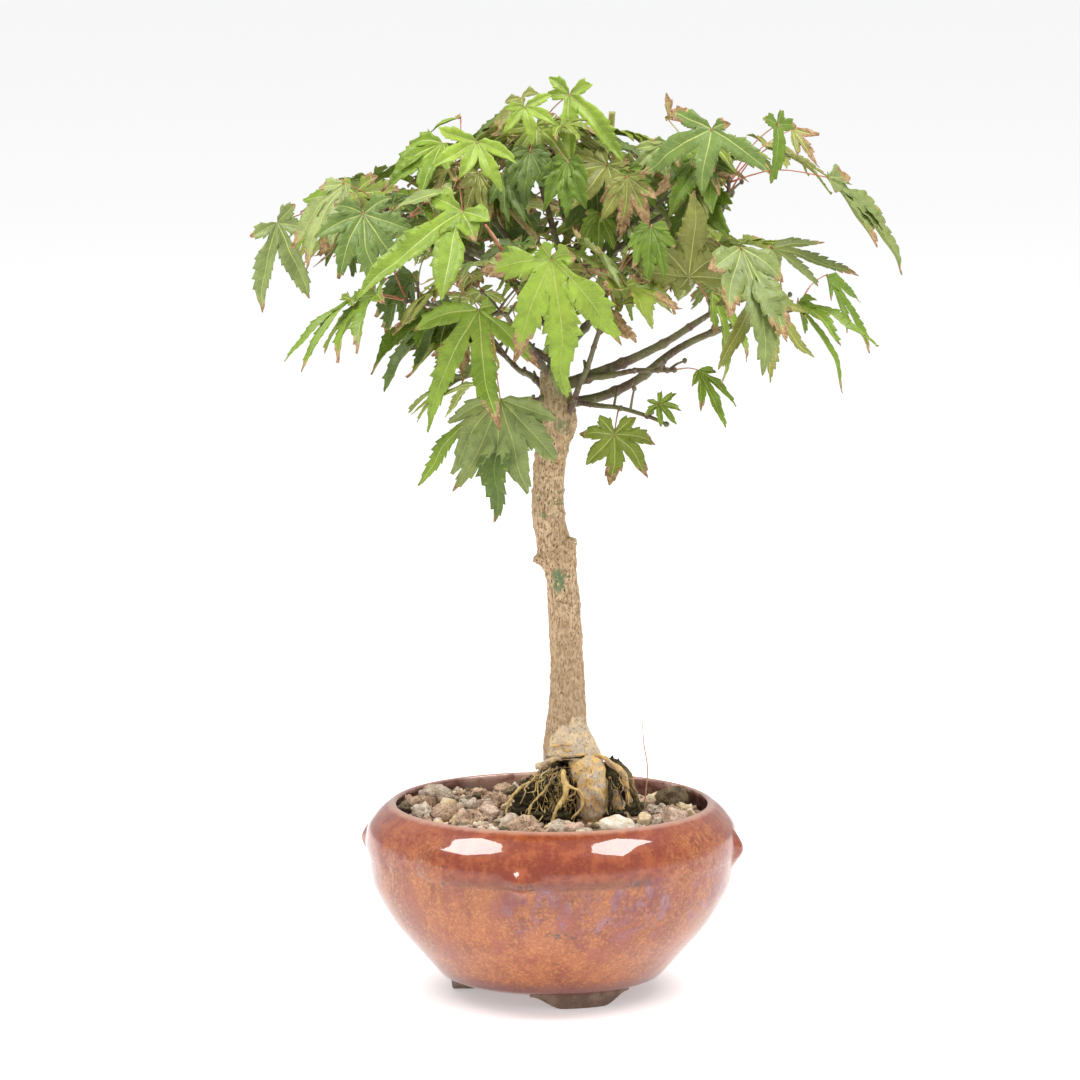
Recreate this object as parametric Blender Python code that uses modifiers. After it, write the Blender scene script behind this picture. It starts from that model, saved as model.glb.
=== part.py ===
"""Bonsai maple in a round glazed bowl that stands on three small clay feet.

While it is being built, the model's origin is on the bowl's axis at table level, +Z is up and the
tree's front faces -Y. Sizes are in millimetres and become metres by MM. Azimuths are in degrees
from the front (-Y) towards +X, rises are in degrees above the horizontal. At the end one empty
carries everything, so that the origin lies at the bottom centre of the whole part.
"""

import math
import random

import bmesh
import bpy
from mathutils import Matrix, Vector
from mathutils.bvhtree import BVHTree

MM = 0.001
GAP = 0.3

# ---- bowl: (radius, height, share of the panels' raise) down its outer side
BOWL_TURN = -9.0
BOWL_SIDES = 40
BOWL_OUTSIDE = (
    (64.2, 77.8, 0.0),
    (66.0, 77.2, 0.0),
    (69.8, 74.4, 0.0),
    (72.6, 71.0, 0.4),
    (74.3, 67.5, 1.0),
    (75.2, 62.0, 1.0),
    (75.1, 57.6, 1.0),
    (74.7, 56.4, 0.0),
    (74.1, 51.0, 0.0),
    (72.2, 43.0, 0.0),
    (65.0, 30.5, 0.0),
    (54.8, 18.4, 0.0),
    (45.0, 7.6, 0.0),
    (42.0, 6.3, 0.0),
)
# (radius, height) up its inner side, from the middle of the floor
BOWL_INSIDE = ((38.0, 12.0), (57.0, 26.0), (66.0, 43.0), (69.0, 57.0), (67.0, 69.0), (63.0, 76.8))
PANEL_HALF = 36.5
PANEL_RAISE = 1.4
BUTTON_HEIGHT = 60.5
BUTTON_RADIUS = 74.8
BUTTON_HALF = (4.6, 6.4, 7.6)

# ---- feet: arcs under the bowl's base
FOOT_AZIMUTHS = {"foot_front": 18.6, "foot_left": 258.6, "foot_back": 138.6}
FOOT_TOP = 6.0
FOOT_RING = (31.0, 41.5)
FOOT_HALF_TOP = 20.0
FOOT_HALF_BOTTOM = 7.6
FOOT_STEPS = 12

# ---- soil and stones
SOIL_TOP = 71.0
SOIL_SEAT = 36.0
SOIL_ROUGH = 1.1
STALK = ((37.5, -4.0, 70.0), (38.6, -3.0, 92.0), (36.8, -2.0, 111.0))
# the stones that stand out: x, y, half width, half height
STONES = (
    (-48.0, 24.0, 6.6, 5.2),
    (-54.0, 8.0, 5.4, 4.0),
    (-42.0, -3.0, 4.3, 4.4),
    (-32.0, 4.0, 3.2, 3.4),
    (-25.0, -5.0, 3.7, 3.2),
    (-12.5, -36.0, 6.2, 4.6),
    (-46.0, -35.0, 3.1, 3.0),
    (-19.0, -53.0, 3.0, 3.0),
    (2.5, -35.0, 3.6, 4.4),
    (13.0, -47.0, 4.8, 3.4),
    (26.5, -34.0, 7.4, 5.0),
    (37.5, -14.0, 3.0, 3.6),
    (49.0, 27.0, 5.2, 5.6),
    (42.5, 38.0, 3.4, 3.4),
    (50.0, -17.0, 5.8, 4.4),
    (56.5, -4.0, 3.0, 3.6),
    (40.0, -42.0, 3.3, 3.0),
)
GRAVEL_COUNT = 16

# the tree's heights below are stretched from the soil up, and its front is carried a little higher
TREE_STRETCH = 1.013
FRONT_LIFT = 0.055

# ---- trunk: height, x, y, width
TRUNK = (
    (66.0, 8.6, -0.5, 33.0),
    (74.0, 8.8, -0.5, 30.0),
    (84.0, 8.8, 0.0, 27.0),
    (93.0, 8.6, 0.0, 24.0),
    (101.0, 7.4, 0.0, 21.5),
    (109.0, 6.0, 0.0, 17.0),
    (119.0, 6.3, 0.4, 15.2),
    (134.0, 6.2, 0.8, 13.8),
    (159.0, 4.8, 0.8, 13.4),
    (169.0, 3.9, 0.5, 12.8),
    (175.5, 2.1, 0.2, 15.4),
    (182.0, 1.0, 0.0, 14.4),
    (196.0, -1.6, -0.6, 13.4),
    (214.0, -0.9, -0.8, 12.8),
    (225.0, 0.8, -0.6, 14.4),
    (233.0, 2.2, -0.4, 15.0),
    (242.0, 1.8, -0.2, 13.4),
    (252.0, 0.6, 0.0, 11.0),
)
TRUNK_BEVEL = 4
TRUNK_TOP = 6
# surface roots over the flare: azimuth, height where each leaves the trunk, spread, radius
ROOTS = (
    (-78.0, 91.0, 21.0, 3.4),
    (-45.0, 88.0, 19.0, 2.8),
    (-12.0, 94.0, 18.0, 3.2),
    (66.0, 96.0, 22.0, 4.0),
    (104.0, 95.0, 23.0, 3.6),
    (150.0, 92.0, 21.0, 3.6),
    (200.0, 93.0, 21.0, 3.6),
    (245.0, 90.0, 20.0, 3.2),
)
BURR_CENTRE = (15.6, -9.5, 80.0)
BURR_HALF = (8.4, 9.0, 15.5)

# ---- limbs: name: parent, where on it (a height on the trunk, else 0 to 1), azimuth, rise,
# length, lift, wave, radius at both ends
LIMB_STEPS = 5
LIMB_KINK = 0.7
LIMB_BEVEL = 1
LIMBS = {
    "leader": ("trunk", 250.5, 115.0, 78.5, 47.0, 0.0, 0.0, 3.7, 2.2),
    "bough_right_upper": ("trunk", 245.5, 79.0, 25.5, 62.0, -2.6, 0.0, 2.8, 1.4),
    "bough_right_lower": ("trunk", 239.0, 98.0, 22.0, 87.0, -1.5, -3.6, 2.3, 1.2),
    "bough_riser": ("trunk", 225.0, 47.0, 61.0, 46.0, -2.0, 0.0, 1.6, 1.0),
    "bough_right_low": ("trunk", 240.5, 68.0, -4.0, 20.0, 0.5, 0.0, 1.4, 1.0),
    "bough_left_low": ("trunk", 242.0, -62.0, -6.0, 15.0, 0.0, 0.0, 1.4, 1.0),
    "bough_back_low": ("trunk", 238.0, 205.0, 16.0, 44.0, 2.0, 0.0, 1.8, 1.1),
    "bough_right_front": ("bough_right_upper", 0.13, 62.0, 11.0, 36.0, 1.0, 0.0, 1.5, 1.0),
    "bough_front_left": ("trunk", 250.0, -29.0, 36.0, 46.0, -2.0, 0.0, 1.9, 1.0),
    "bough_left": ("leader", 0.12, -60.0, 26.0, 56.0, 2.0, 0.0, 2.0, 1.1),
    "bough_back_right": ("leader", 0.2, 136.0, 26.0, 60.0, 2.0, 0.0, 2.0, 1.1),
    "bough_back_left": ("leader", 0.3, 219.0, 32.0, 58.0, 2.0, 0.0, 2.0, 1.1),
    "bough_front": ("leader", 0.42, -15.0, 32.0, 44.0, 2.0, 0.0, 1.7, 1.0),
    "bough_left_far": ("leader", 0.5, -77.0, 29.0, 62.0, 4.0, 0.0, 2.1, 1.1),
    "bough_right_far": ("leader", 0.55, 90.0, 33.0, 68.0, 3.0, 0.0, 2.1, 1.1),
    "bough_left_back": ("leader", 0.62, 252.0, 24.0, 64.0, 3.0, 0.0, 1.9, 1.1),
    "bough_top_left": ("leader", 0.68, -62.0, 44.0, 48.0, -3.0, 0.0, 1.7, 1.0),
    "bough_right_back": ("leader", 0.72, 118.0, 33.0, 60.0, 2.0, 0.0, 1.8, 1.0),
    "bough_top_right": ("leader", 0.82, 76.0, 42.0, 54.0, 2.0, 0.0, 1.8, 1.0),
    "bough_back_top": ("leader", 0.86, 188.0, 46.0, 46.0, 0.0, 0.0, 1.7, 1.0),
    "bough_top": ("leader", 0.8, -64.0, 72.0, 50.0, 0.0, 0.0, 1.7, 1.0),
}

# ---- masses of foliage: name: limb that carries it, stem azimuth, rise and length, leaves dealt
# by rule, how far they may fan from the stem's azimuth, reach from the stem's end
MASSES = {
    "foliage_crown": ("leader", 120.0, 72.0, 24.0, 4, 180.0, 56.0),
    "foliage_right_upper": ("bough_right_upper", 66.0, 34.0, 20.0, 1, 60.0, 50.0),
    "foliage_right_lower": ("bough_right_lower", 96.0, 14.0, 18.0, 1, 60.0, 52.0),
    "foliage_riser": ("bough_riser", 30.0, 66.0, 24.0, 2, 80.0, 46.0),
    "foliage_right_low": ("bough_right_low", 76.0, -14.0, 27.0, 0, 60.0, 40.0),
    "foliage_left_low": ("bough_left_low", -62.0, -4.0, 12.0, 2, 70.0, 44.0),
    "foliage_back_low": ("bough_back_low", 205.0, 20.0, 20.0, 5, 110.0, 56.0),
    "foliage_right_front": ("bough_right_front", 66.0, 4.0, 10.0, 0, 60.0, 44.0),
    "foliage_front_left": ("bough_front_left", -36.0, 12.0, 13.0, 1, 60.0, 52.0),
    "foliage_left": ("bough_left", -68.0, 14.0, 18.0, 1, 60.0, 52.0),
    "foliage_back_right": ("bough_back_right", 136.0, 24.0, 24.0, 6, 110.0, 58.0),
    "foliage_back_left": ("bough_back_left", 219.0, 26.0, 24.0, 6, 110.0, 58.0),
    "foliage_front": ("bough_front", -4.0, 14.0, 13.0, 1, 60.0, 56.0),
    "foliage_left_far": ("bough_left_far", -80.0, 40.0, 24.0, 1, 70.0, 56.0),
    "foliage_right_far": ("bough_right_far", 90.0, 62.0, 18.0, 1, 60.0, 56.0),
    "foliage_left_back": ("bough_left_back", 250.0, 18.0, 24.0, 6, 100.0, 58.0),
    "foliage_top_left": ("bough_top_left", -60.0, 50.0, 22.0, 1, 80.0, 46.0),
    "foliage_right_back": ("bough_right_back", 116.0, 26.0, 24.0, 6, 100.0, 58.0),
    "foliage_top_right": ("bough_top_right", 80.0, 38.0, 22.0, 3, 90.0, 50.0),
    "foliage_back_top": ("bough_back_top", 186.0, 40.0, 22.0, 6, 120.0, 54.0),
    "foliage_top": ("bough_top", -20.0, 72.0, 14.0, 2, 150.0, 46.0),
}

# ---- leaves with a set place: mass: (where the stalk joins the blade, tip of the middle lobe,
# azimuth and rise that the upper side faces, half width of a lobe as a share of the length)
SLIM, PLAIN, BROAD = 0.09, 0.135, 0.16
SET_LEAVES = {
    "foliage_front": (
        ((-0.4, -62.0, 301.0), (8.0, -70.0, 248.5), 0.0, 14.0, PLAIN),
    ),
    "foliage_front_left": (
        ((-29.0, -54.0, 280.5), (-25.6, -60.0, 236.0), -12.0, 10.0, PLAIN),
        ((-20.6, -46.0, 244.5), (-22.5, -50.0, 197.5), -8.0, 12.0, BROAD),
        ((-23.0, -40.0, 272.0), (-21.0, -44.0, 257.0), -60.0, 10.0, SLIM),
    ),
    "foliage_left": (
        ((-80.0, -30.0, 283.0), (-107.0, -36.0, 258.5), -60.0, 50.0, SLIM),
        ((-75.0, -32.0, 317.0), (-73.0, -42.0, 288.0), -14.0, 20.0, BROAD),
        ((-48.0, -36.0, 277.5), (-73.0, -44.0, 256.0), -56.0, 40.0, BROAD),
        ((-56.0, -12.0, 292.0), (-67.0, -14.0, 267.0), -50.0, 20.0, PLAIN),
    ),
    "foliage_left_far": (
        ((-110.5, 2.0, 311.5), (-94.0, -8.0, 284.5), -44.0, 30.0, PLAIN),
        ((-83.0, -14.0, 328.0), (-98.5, -20.0, 295.5), -50.0, 34.0, PLAIN),
    ),
    "foliage_left_low": (
        ((-37.5, -26.0, 266.0), (-41.0, -30.0, 249.5), -20.0, 20.0, BROAD),
    ),
    "foliage_top_left": (
        ((-35.6, -52.0, 319.0), (-74.0, -66.0, 287.0), -16.0, 40.0, PLAIN),
        ((-29.8, -36.0, 345.5), (-36.0, -44.0, 329.0), -6.0, 30.0, BROAD),
        ((-43.5, -16.0, 344.0), (-64.0, -22.0, 323.0), -30.0, 40.0, BROAD),
        ((-36.6, -3.0, 353.5), (-49.0, -5.0, 348.0), -60.0, 60.0, PLAIN),
    ),
    "foliage_top": (
        ((-12.4, 4.0, 361.0), (-21.0, 0.0, 346.0), -60.0, 50.0, BROAD),
        ((7.0, -10.0, 363.0), (5.6, -18.0, 337.5), 6.0, 30.0, PLAIN),
    ),
    "foliage_crown": (
        ((18.6, -8.0, 330.0), (7.6, -12.0, 308.5), -10.0, 30.0, PLAIN),
    ),
    "foliage_top_right": (
        ((63.5, -24.0, 350.0), (60.0, -33.0, 325.0), 10.0, 38.0, BROAD),
        ((30.0, -27.0, 331.5), (28.9, -33.0, 308.0), 10.0, 30.0, PLAIN),
        ((46.8, 4.0, 352.5), (44.8, 5.0, 363.5), 30.0, 50.0, BROAD),
        ((46.0, -12.0, 344.0), (36.0, -20.0, 326.0), -10.0, 50.0, PLAIN),
    ),
    "foliage_right_far": (
        ((110.2, -6.0, 330.0), (139.2, -10.0, 290.5), 72.0, 40.0, BROAD),
        ((90.0, -8.0, 351.0), (89.8, -13.0, 329.0), 50.0, 30.0, BROAD),
        ((97.0, 18.0, 348.0), (107.0, 16.0, 333.5), 30.0, 50.0, BROAD),
    ),
    "foliage_right_upper": (
        ((75.0, -40.0, 304.0), (95.5, -50.0, 264.0), 30.0, 24.0, BROAD),
        ((54.4, -34.0, 292.0), (57.2, -38.0, 328.0), 0.0, 10.0, BROAD),
        ((64.0, -19.0, 285.0), (71.5, -25.0, 247.5), 60.0, 10.0, SLIM),
    ),
    "foliage_right_lower": (
        ((99.0, -12.0, 280.5), (130.0, -18.0, 264.0), 40.0, 50.0, SLIM),
        ((99.0, 2.0, 278.5), (116.0, -2.0, 243.5), 66.0, 24.0, SLIM),
        ((88.0, -2.0, 301.5), (122.0, -6.0, 288.0), 20.0, 60.0, SLIM),
        ((111.5, 26.0, 289.0), (125.2, 26.0, 257.0), 70.0, 20.0, SLIM),
    ),
    "foliage_riser": (
        ((39.0, -46.0, 313.0), (37.2, -51.0, 291.5), 10.0, 20.0, PLAIN),
        ((26.0, -36.0, 281.0), (43.6, -38.0, 283.5), 10.0, 50.0, BROAD),
    ),
    "foliage_right_low": (
        ((25.0, -22.0, 228.5), (26.0, -30.0, 209.0), 8.0, 16.0, PLAIN),
        ((43.0, -14.0, 240.0), (50.0, -16.0, 232.0), 10.0, 30.0, PLAIN),
    ),
    "foliage_right_front": (
        ((58.5, -26.0, 254.5), (67.0, -30.0, 231.0), 30.0, 20.0, SLIM),
    ),
}

# ---- one leaf: angle and length of each lobe from the middle one outwards, as shares
LOBES = ((0.0, 1.0), (38.0, 0.9), (79.0, 0.64), (125.0, 0.34))
BLADE_THICK = 1.0
SPINE_THICK = 0.6
BLADE_ARCH = 0.07
BLADE_FOLD = 0.22
STALK_RADII = (0.62, 0.42)
CLEAR = 0.5
# a leaf dealt by rule: stalk length and rise, blade length and fall
RULE_STALK = (9.0, 24.0)
RULE_RISE = (0.0, 55.0)
RULE_BLADE = (28.0, 44.0)
RULE_FALL = (12.0, 70.0)
# such leaves stay inside this ellipsoid (centre, half sizes) and out of the sky between the boughs
CROWN_CENTRE = (10.0, 6.0, 293.0)
CROWN_HALF = (125.0, 110.0, 75.0)
SKY = (
    (12.0, 68.0, 228.0, 277.0),
    (-16.0, 12.0, 196.0, 262.0),
    (74.0, 108.0, 304.0, 334.0),
    (-104.0, -84.0, 333.0, 350.0),
)
STEM_SIDES = 4
SIDE_TWIGS = (0.35, 0.75)
SIDE_TWIG_LENGTH = (12.0, 20.0)
LIMB_SEED = 300
MASS_SEED = 700
TRIES = 40

COLOURS = {
    "glaze": ((0.42, 0.13, 0.055, 1), 0.25),
    "clay": ((0.11, 0.07, 0.05, 1), 0.9),
    "soil": ((0.17, 0.14, 0.12, 1), 0.95),
    "bark": ((0.36, 0.26, 0.17, 1), 0.85),
    "bough": ((0.2, 0.15, 0.1, 1), 0.7),
    "foliage": ((0.16, 0.32, 0.05, 1), 0.55),
}


def polar(azimuth, rise=0.0):
    """Unit vector at an azimuth from the front and a rise above the horizontal."""
    turn, lift = math.radians(azimuth), math.radians(rise)
    return Vector((math.sin(turn) * math.cos(lift), -math.cos(turn) * math.cos(lift), math.sin(lift)))


def stretched(height):
    return SOIL_TOP + (height - SOIL_TOP) * TREE_STRETCH


def along(path, share):
    """The point at a share of the way along a path of even steps."""
    place = share * (len(path) - 1)
    step = min(int(place), len(path) - 2)
    return path[step].lerp(path[step + 1], place - step)


# ---- where everything grows ------------------------------------------------------------


def ring_shell(path, radii, sides):
    """Points and faces of a closed tapering tube of a few sides along a path."""
    points, faces = [], []
    side = (path[1] - path[0]).orthogonal().normalized()
    for i, (place, radius) in enumerate(zip(path, radii)):
        heading = (path[min(i + 1, len(path) - 1)] - path[max(i - 1, 0)]).normalized()
        side = (side - heading * side.dot(heading)).normalized()
        other = heading.cross(side)
        for k in range(sides):
            turn = math.tau * k / sides
            points.append(place + (side * math.cos(turn) + other * math.sin(turn)) * radius)
    for i in range(len(path) - 1):
        for k in range(sides):
            a, b = i * sides + k, i * sides + (k + 1) % sides
            faces.append((a, b, b + sides, a + sides))
    faces.append(tuple(range(sides))[::-1])
    faces.append(tuple(range((len(path) - 1) * sides, len(path) * sides)))
    return points, faces


def arch(reach, length):
    """How far the blade bows up at a distance from the stalk."""
    share = min(reach / length, 1.0)
    return BLADE_ARCH * length * 4.0 * share * (1.0 - share)


def blade_shell(leaf, extra=0.0):
    """Points and faces of a lobed blade: two folded skins that share their outline."""
    size = leaf["length"] * (1.0 + 0.06 * extra)
    wide = leaf["width"]
    notch = 0.2 + 0.9 * wide
    order = [(-a, s) for a, s in reversed(LOBES[1:])] + list(LOBES)
    outline, inner, fans = [(-0.03 * size, 0.0, 0.0)], [(0.1 * size, 0.0, BLADE_THICK / 2 + extra)], []
    previous = 0
    for i, (angle, share) in enumerate(order):
        turn = math.radians(angle)
        ahead = Vector((math.cos(turn), math.sin(turn)))
        across = Vector((-ahead.y, ahead.x))
        tip = ahead * share * size
        if share > 0.7:
            middle = ahead * share * size * 0.52
            half = across * wide * size * share
            lift = half.length * BLADE_FOLD
            for spot, up in ((middle - half, lift), (tip, 0.0), (middle + half, lift)):
                outline.append((spot.x, spot.y, up))
            inner.append((middle.x, middle.y, SPINE_THICK / 2 + extra))
            a = len(outline) - 3
            ring = [previous, a, a + 1, a + 2]
        else:
            outline.append((tip.x, tip.y, 0.0))
            ring = [previous, len(outline) - 1]
        if i < len(order) - 1:
            reach = notch * size * min(1.0, 1.15 * min(share, order[i + 1][1]))
            gap = math.radians((angle + order[i + 1][0]) / 2)
            outline.append((reach * math.cos(gap), reach * math.sin(gap), 0.0))
            previous = len(outline) - 1
            ring.append(previous)
        else:
            ring.append(0)
        fans.append((ring, len(inner) - 1 if share > 0.7 else 0))
    rims = len(outline)
    rows = [(x, y, z) for x, y, z in outline]
    rows += [(x, y, z) for x, y, z in inner] + [(x, y, -z) for x, y, z in inner]
    ahead, up = leaf["along"], leaf["face"]
    left = up.cross(ahead)
    points = []
    for x, y, z in rows:
        z += arch(math.hypot(x, y), size)
        points.append(leaf["at"] + ahead * x + left * y + up * z)
    faces = []
    for ring, hub in fans:
        for top in (True, False):
            centre = rims + hub + (0 if top else len(inner))
            core = rims + (0 if top else len(inner))
            made = [(a, b, centre) for a, b in zip(ring, ring[1:])]
            if hub:
                made += [(core, ring[0], centre), (ring[-1], core, centre)]
            faces += made if top else [face[::-1] for face in made]
    return points, faces


def new_leaf(start, joint, tip, azimuth, rise, width):
    """A leaf from the point where its stalk starts, the blade's two ends and the way it faces."""
    ahead = (tip - joint).normalized()
    up = polar(azimuth, rise)
    up = (up - ahead * up.dot(ahead)).normalized()
    leaf = {"at": joint, "along": ahead, "face": up, "length": (tip - joint).length, "width": width}
    sunk = 0.12 * leaf["length"]
    end = joint + ahead * sunk + up * arch(sunk, leaf["length"])
    reach = (joint - start).length
    stalk = [start]
    if reach > 10.0:
        stalk.append(start.lerp(joint, 0.5) + Vector((0, 0, 0.1 * reach)))
    leaf["stalk"] = stalk + [joint, end]
    leaf["radii"] = [STALK_RADII[0]] + [STALK_RADII[1]] * (len(stalk) + 1)
    return leaf


def tree_of(shell):
    return BVHTree.FromPolygons([tuple(p) for p in shell[0]], shell[1])


def leaf_spots(leaf):
    """The tips of the blade's lobes and its joint."""
    ahead, left = leaf["along"], leaf["face"].cross(leaf["along"])
    spots = [leaf["at"]]
    for angle, share in LOBES:
        for side in (-1, 1):
            turn = math.radians(angle * side)
            spot = ahead * math.cos(turn) + left * math.sin(turn)
            spots.append(leaf["at"] + spot * leaf["length"] * share)
    return spots


def in_space(leaf, centre, reach):
    """Whether a leaf dealt by rule stays in its mass's space, in the crown and out of the sky."""
    for spot in leaf_spots(leaf):
        out = [(spot[i] - CROWN_CENTRE[i]) / CROWN_HALF[i] for i in range(3)]
        if (spot - centre).length > reach or sum(value * value for value in out) > 1.0:
            return False
        if any(x0 < spot.x < x1 and z0 < spot.z < z1 for x0, x1, z0, z1 in SKY):
            return False
    return True


def at_height(path, height):
    """The point of the trunk's middle line at a height."""
    for low, high in zip(path, path[1:]):
        if high.z >= height:
            return low.lerp(high, (height - low.z) / (high.z - low.z))


def grow_limbs():
    """The middle line and radii of the trunk and every bough."""
    middle = [Vector((x, y, stretched(z))) for z, x, y, width in TRUNK]
    limbs = {"trunk": (middle, [width / 2 for z, x, y, width in TRUNK])}
    for number, (name, row) in enumerate(LIMBS.items()):
        parent, where, azimuth, rise, length, lift, wave, thick, thin = row
        rng = random.Random(LIMB_SEED + number)
        line = limbs[parent][0]
        start = at_height(line, stretched(where)) if parent == "trunk" else along(line, where)
        path, radii = [], []
        for i in range(LIMB_STEPS + 1):
            share = i / LIMB_STEPS
            place = start + polar(azimuth, rise) * length * share
            place.z += lift * math.sin(math.pi * share) + wave * math.sin(math.tau * share)
            if 0 < i < LIMB_STEPS:
                place += Vector([rng.uniform(-LIMB_KINK, LIMB_KINK) for _ in range(3)])
            path.append(place)
            radii.append(thick + (thin - thick) * share)
        limbs[name] = (path, radii)
    return limbs


def grow_stem(limbs, row):
    """A mass's stem, from just clear of its limb's tip, and that limb's own thickness there."""
    limb, azimuth, rise, length = row[:4]
    path, radii = limbs[limb]
    heading = (path[-1] - path[-2]).normalized()
    start = path[-1] + heading * GAP
    end = start + polar(azimuth, rise) * length
    middle = start + heading * length * 0.45
    stem = [start, start.lerp(middle, 0.6), middle.lerp(end, 0.45), end]
    thick = radii[-1]
    return stem, [thick + (0.75 - thick) * i / 3 for i in range(4)]


def grow_masses(limbs):
    """Stems, side twigs and leaves of every mass, none of which touches a limb or another mass."""
    masses = {}
    taken = [tree_of(ring_shell(path, radii, 6)) for path, radii in limbs.values()]
    for name, row in MASSES.items():
        stem, radii = grow_stem(limbs, row)
        masses[name] = {"stem": (stem, radii), "twigs": [], "leaves": [], "trees": []}
        masses[name]["trees"].append(tree_of(ring_shell(stem, radii, STEM_SIDES)))

    def free(name, shell, own_leaves=False):
        probe = tree_of(shell)
        others = [tree for other in masses if other != name for tree in masses[other]["trees"]]
        if own_leaves:
            others += [leaf["tree"] for leaf in masses[name]["leaves"]]
        return not any(probe.overlap(tree) for tree in taken + others)

    def add(name, leaf):
        thick = [radius + CLEAR for radius in leaf["radii"]]
        if not free(name, ring_shell(leaf["stalk"], thick, 3)):
            return False
        if not free(name, blade_shell(leaf, CLEAR), own_leaves=True):
            return False
        leaf["tree"] = tree_of(blade_shell(leaf))
        masses[name]["leaves"].append(leaf)
        masses[name]["trees"] += [leaf["tree"], tree_of(ring_shell(leaf["stalk"], leaf["radii"], 3))]
        return True

    for name, rows in SET_LEAVES.items():
        stem = masses[name]["stem"][0]
        for number, (joint, tip, azimuth, rise, width) in enumerate(rows):
            joint, tip = (
                Vector((x, y, stretched(z) - FRONT_LIFT * y)) for x, y, z in (joint, tip)
            )
            nodes = sorted((along(stem, s) for s in (0.3, 0.65, 0.98)), key=lambda p: (p - joint).length)
            leaf = new_leaf(nodes[0], joint, tip, azimuth, rise, width)
            if not add(name, leaf):
                print("no room for set leaf", name, number)

    for number, (name, row) in enumerate(MASSES.items()):
        count, fan, reach = row[4:]
        rng = random.Random(MASS_SEED + number)
        stem = masses[name]["stem"][0]
        nodes = [stem[-1].lerp(stem[-2], 0.1)]
        for k, share in enumerate(SIDE_TWIGS if count > 2 else ()):
            start = along(stem, share)
            side = row[1] + (-1) ** (k + number) * rng.uniform(45.0, 75.0)
            end = start + polar(side, rng.uniform(5.0, 35.0)) * rng.uniform(*SIDE_TWIG_LENGTH)
            twig = [start, start.lerp(end, 0.5) + Vector((0, 0, 0.8)), end]
            if free(name, ring_shell(twig, [1.3, 1.2, 1.1], 3)):
                masses[name]["twigs"].append((twig, [0.85, 0.75, 0.6]))
                masses[name]["trees"].append(tree_of(ring_shell(twig, [0.85, 0.75, 0.6], 3)))
                nodes.append(twig[1].lerp(end, 0.85))
        made = 0
        for attempt in range(count * TRIES):
            if made == count:
                break
            start = nodes[attempt % len(nodes)]
            azimuth = row[1] + rng.uniform(-fan, fan)
            joint = start + polar(azimuth, rng.uniform(*RULE_RISE)) * rng.uniform(*RULE_STALK)
            fall, size = -rng.uniform(*RULE_FALL), rng.uniform(*RULE_BLADE)
            tip = joint + polar(azimuth + rng.uniform(-35.0, 35.0), fall) * size
            width = rng.choice((SLIM, PLAIN, PLAIN, BROAD))
            leaf = new_leaf(start, joint, tip, azimuth + rng.uniform(-25.0, 25.0), 55.0, width)
            if in_space(leaf, stem[-1], reach) and add(name, leaf):
                made += 1
    return masses


# ---- solids ------------------------------------------------------------------------------


def clear_scene():
    for item in list(bpy.data.objects):
        bpy.data.objects.remove(item)


def material(kind):
    """One Principled material of its own for each call."""
    colour, rough = COLOURS[kind]
    made = bpy.data.materials.new(kind)
    made.use_nodes = True
    shader = made.node_tree.nodes["Principled BSDF"]
    shader.inputs["Base Color"].default_value = colour
    shader.inputs["Roughness"].default_value = rough
    shader.inputs["Metallic"].default_value = 0.0
    made.diffuse_color = colour
    return made


def new_object(name, mesh, collection):
    made = bpy.data.objects.new(name, mesh)
    collection.objects.link(made)
    return made


def from_shell(name, shell, collection):
    """A mesh object in metres from points and faces in millimetres."""
    mesh = bpy.data.meshes.new(name)
    mesh.from_pydata([tuple(point * MM) for point in shell[0]], [], shell[1])
    return new_object(name, mesh, collection)


def bake_down(item):
    """Gives an object the mesh that its modifiers make, and clears them."""
    bpy.context.view_layer.update()
    mesh = bpy.data.meshes.new_from_object(item.evaluated_get(bpy.context.evaluated_depsgraph_get()))
    item.modifiers.clear()
    item.data = mesh


def keep_largest(item):
    """Drops every loose scrap but the largest body of a mesh."""
    bm = bmesh.new()
    bm.from_mesh(item.data)
    left = set(bm.verts)
    bodies = []
    while left:
        body, queue = set(), [next(iter(left))]
        while queue:
            vert = queue.pop()
            if vert in body:
                continue
            body.add(vert)
            queue += [edge.other_vert(vert) for edge in vert.link_edges]
        left -= body
        bodies.append(body)
    bodies.sort(key=len)
    for body in bodies[:-1]:
        bmesh.ops.delete(bm, geom=list(body), context="VERTS")
    bm.to_mesh(item.data)
    bm.free()
    return len(bodies) - 1


def is_closed(mesh):
    bm = bmesh.new()
    bm.from_mesh(mesh)
    closed = len(bm.faces) > 0 and all(len(edge.link_faces) == 2 for edge in bm.edges)
    bm.free()
    return closed


def boolean(item, operation, other, solvers=("EXACT", "MANIFOLD")):
    """Joins or cuts an object with another object or with all that a collection holds."""
    before = item.data
    for solver in solvers:
        item.data = before
        step = item.modifiers.new(operation.lower(), "BOOLEAN")
        step.operation = operation
        step.solver = solver
        if isinstance(other, bpy.types.Collection):
            step.operand_type = "COLLECTION"
            step.collection = other
        else:
            step.object = other
        bake_down(item)
        if is_closed(item.data):
            break
        print(operation, "by", solver, "left no closed body in", item.name)


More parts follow.
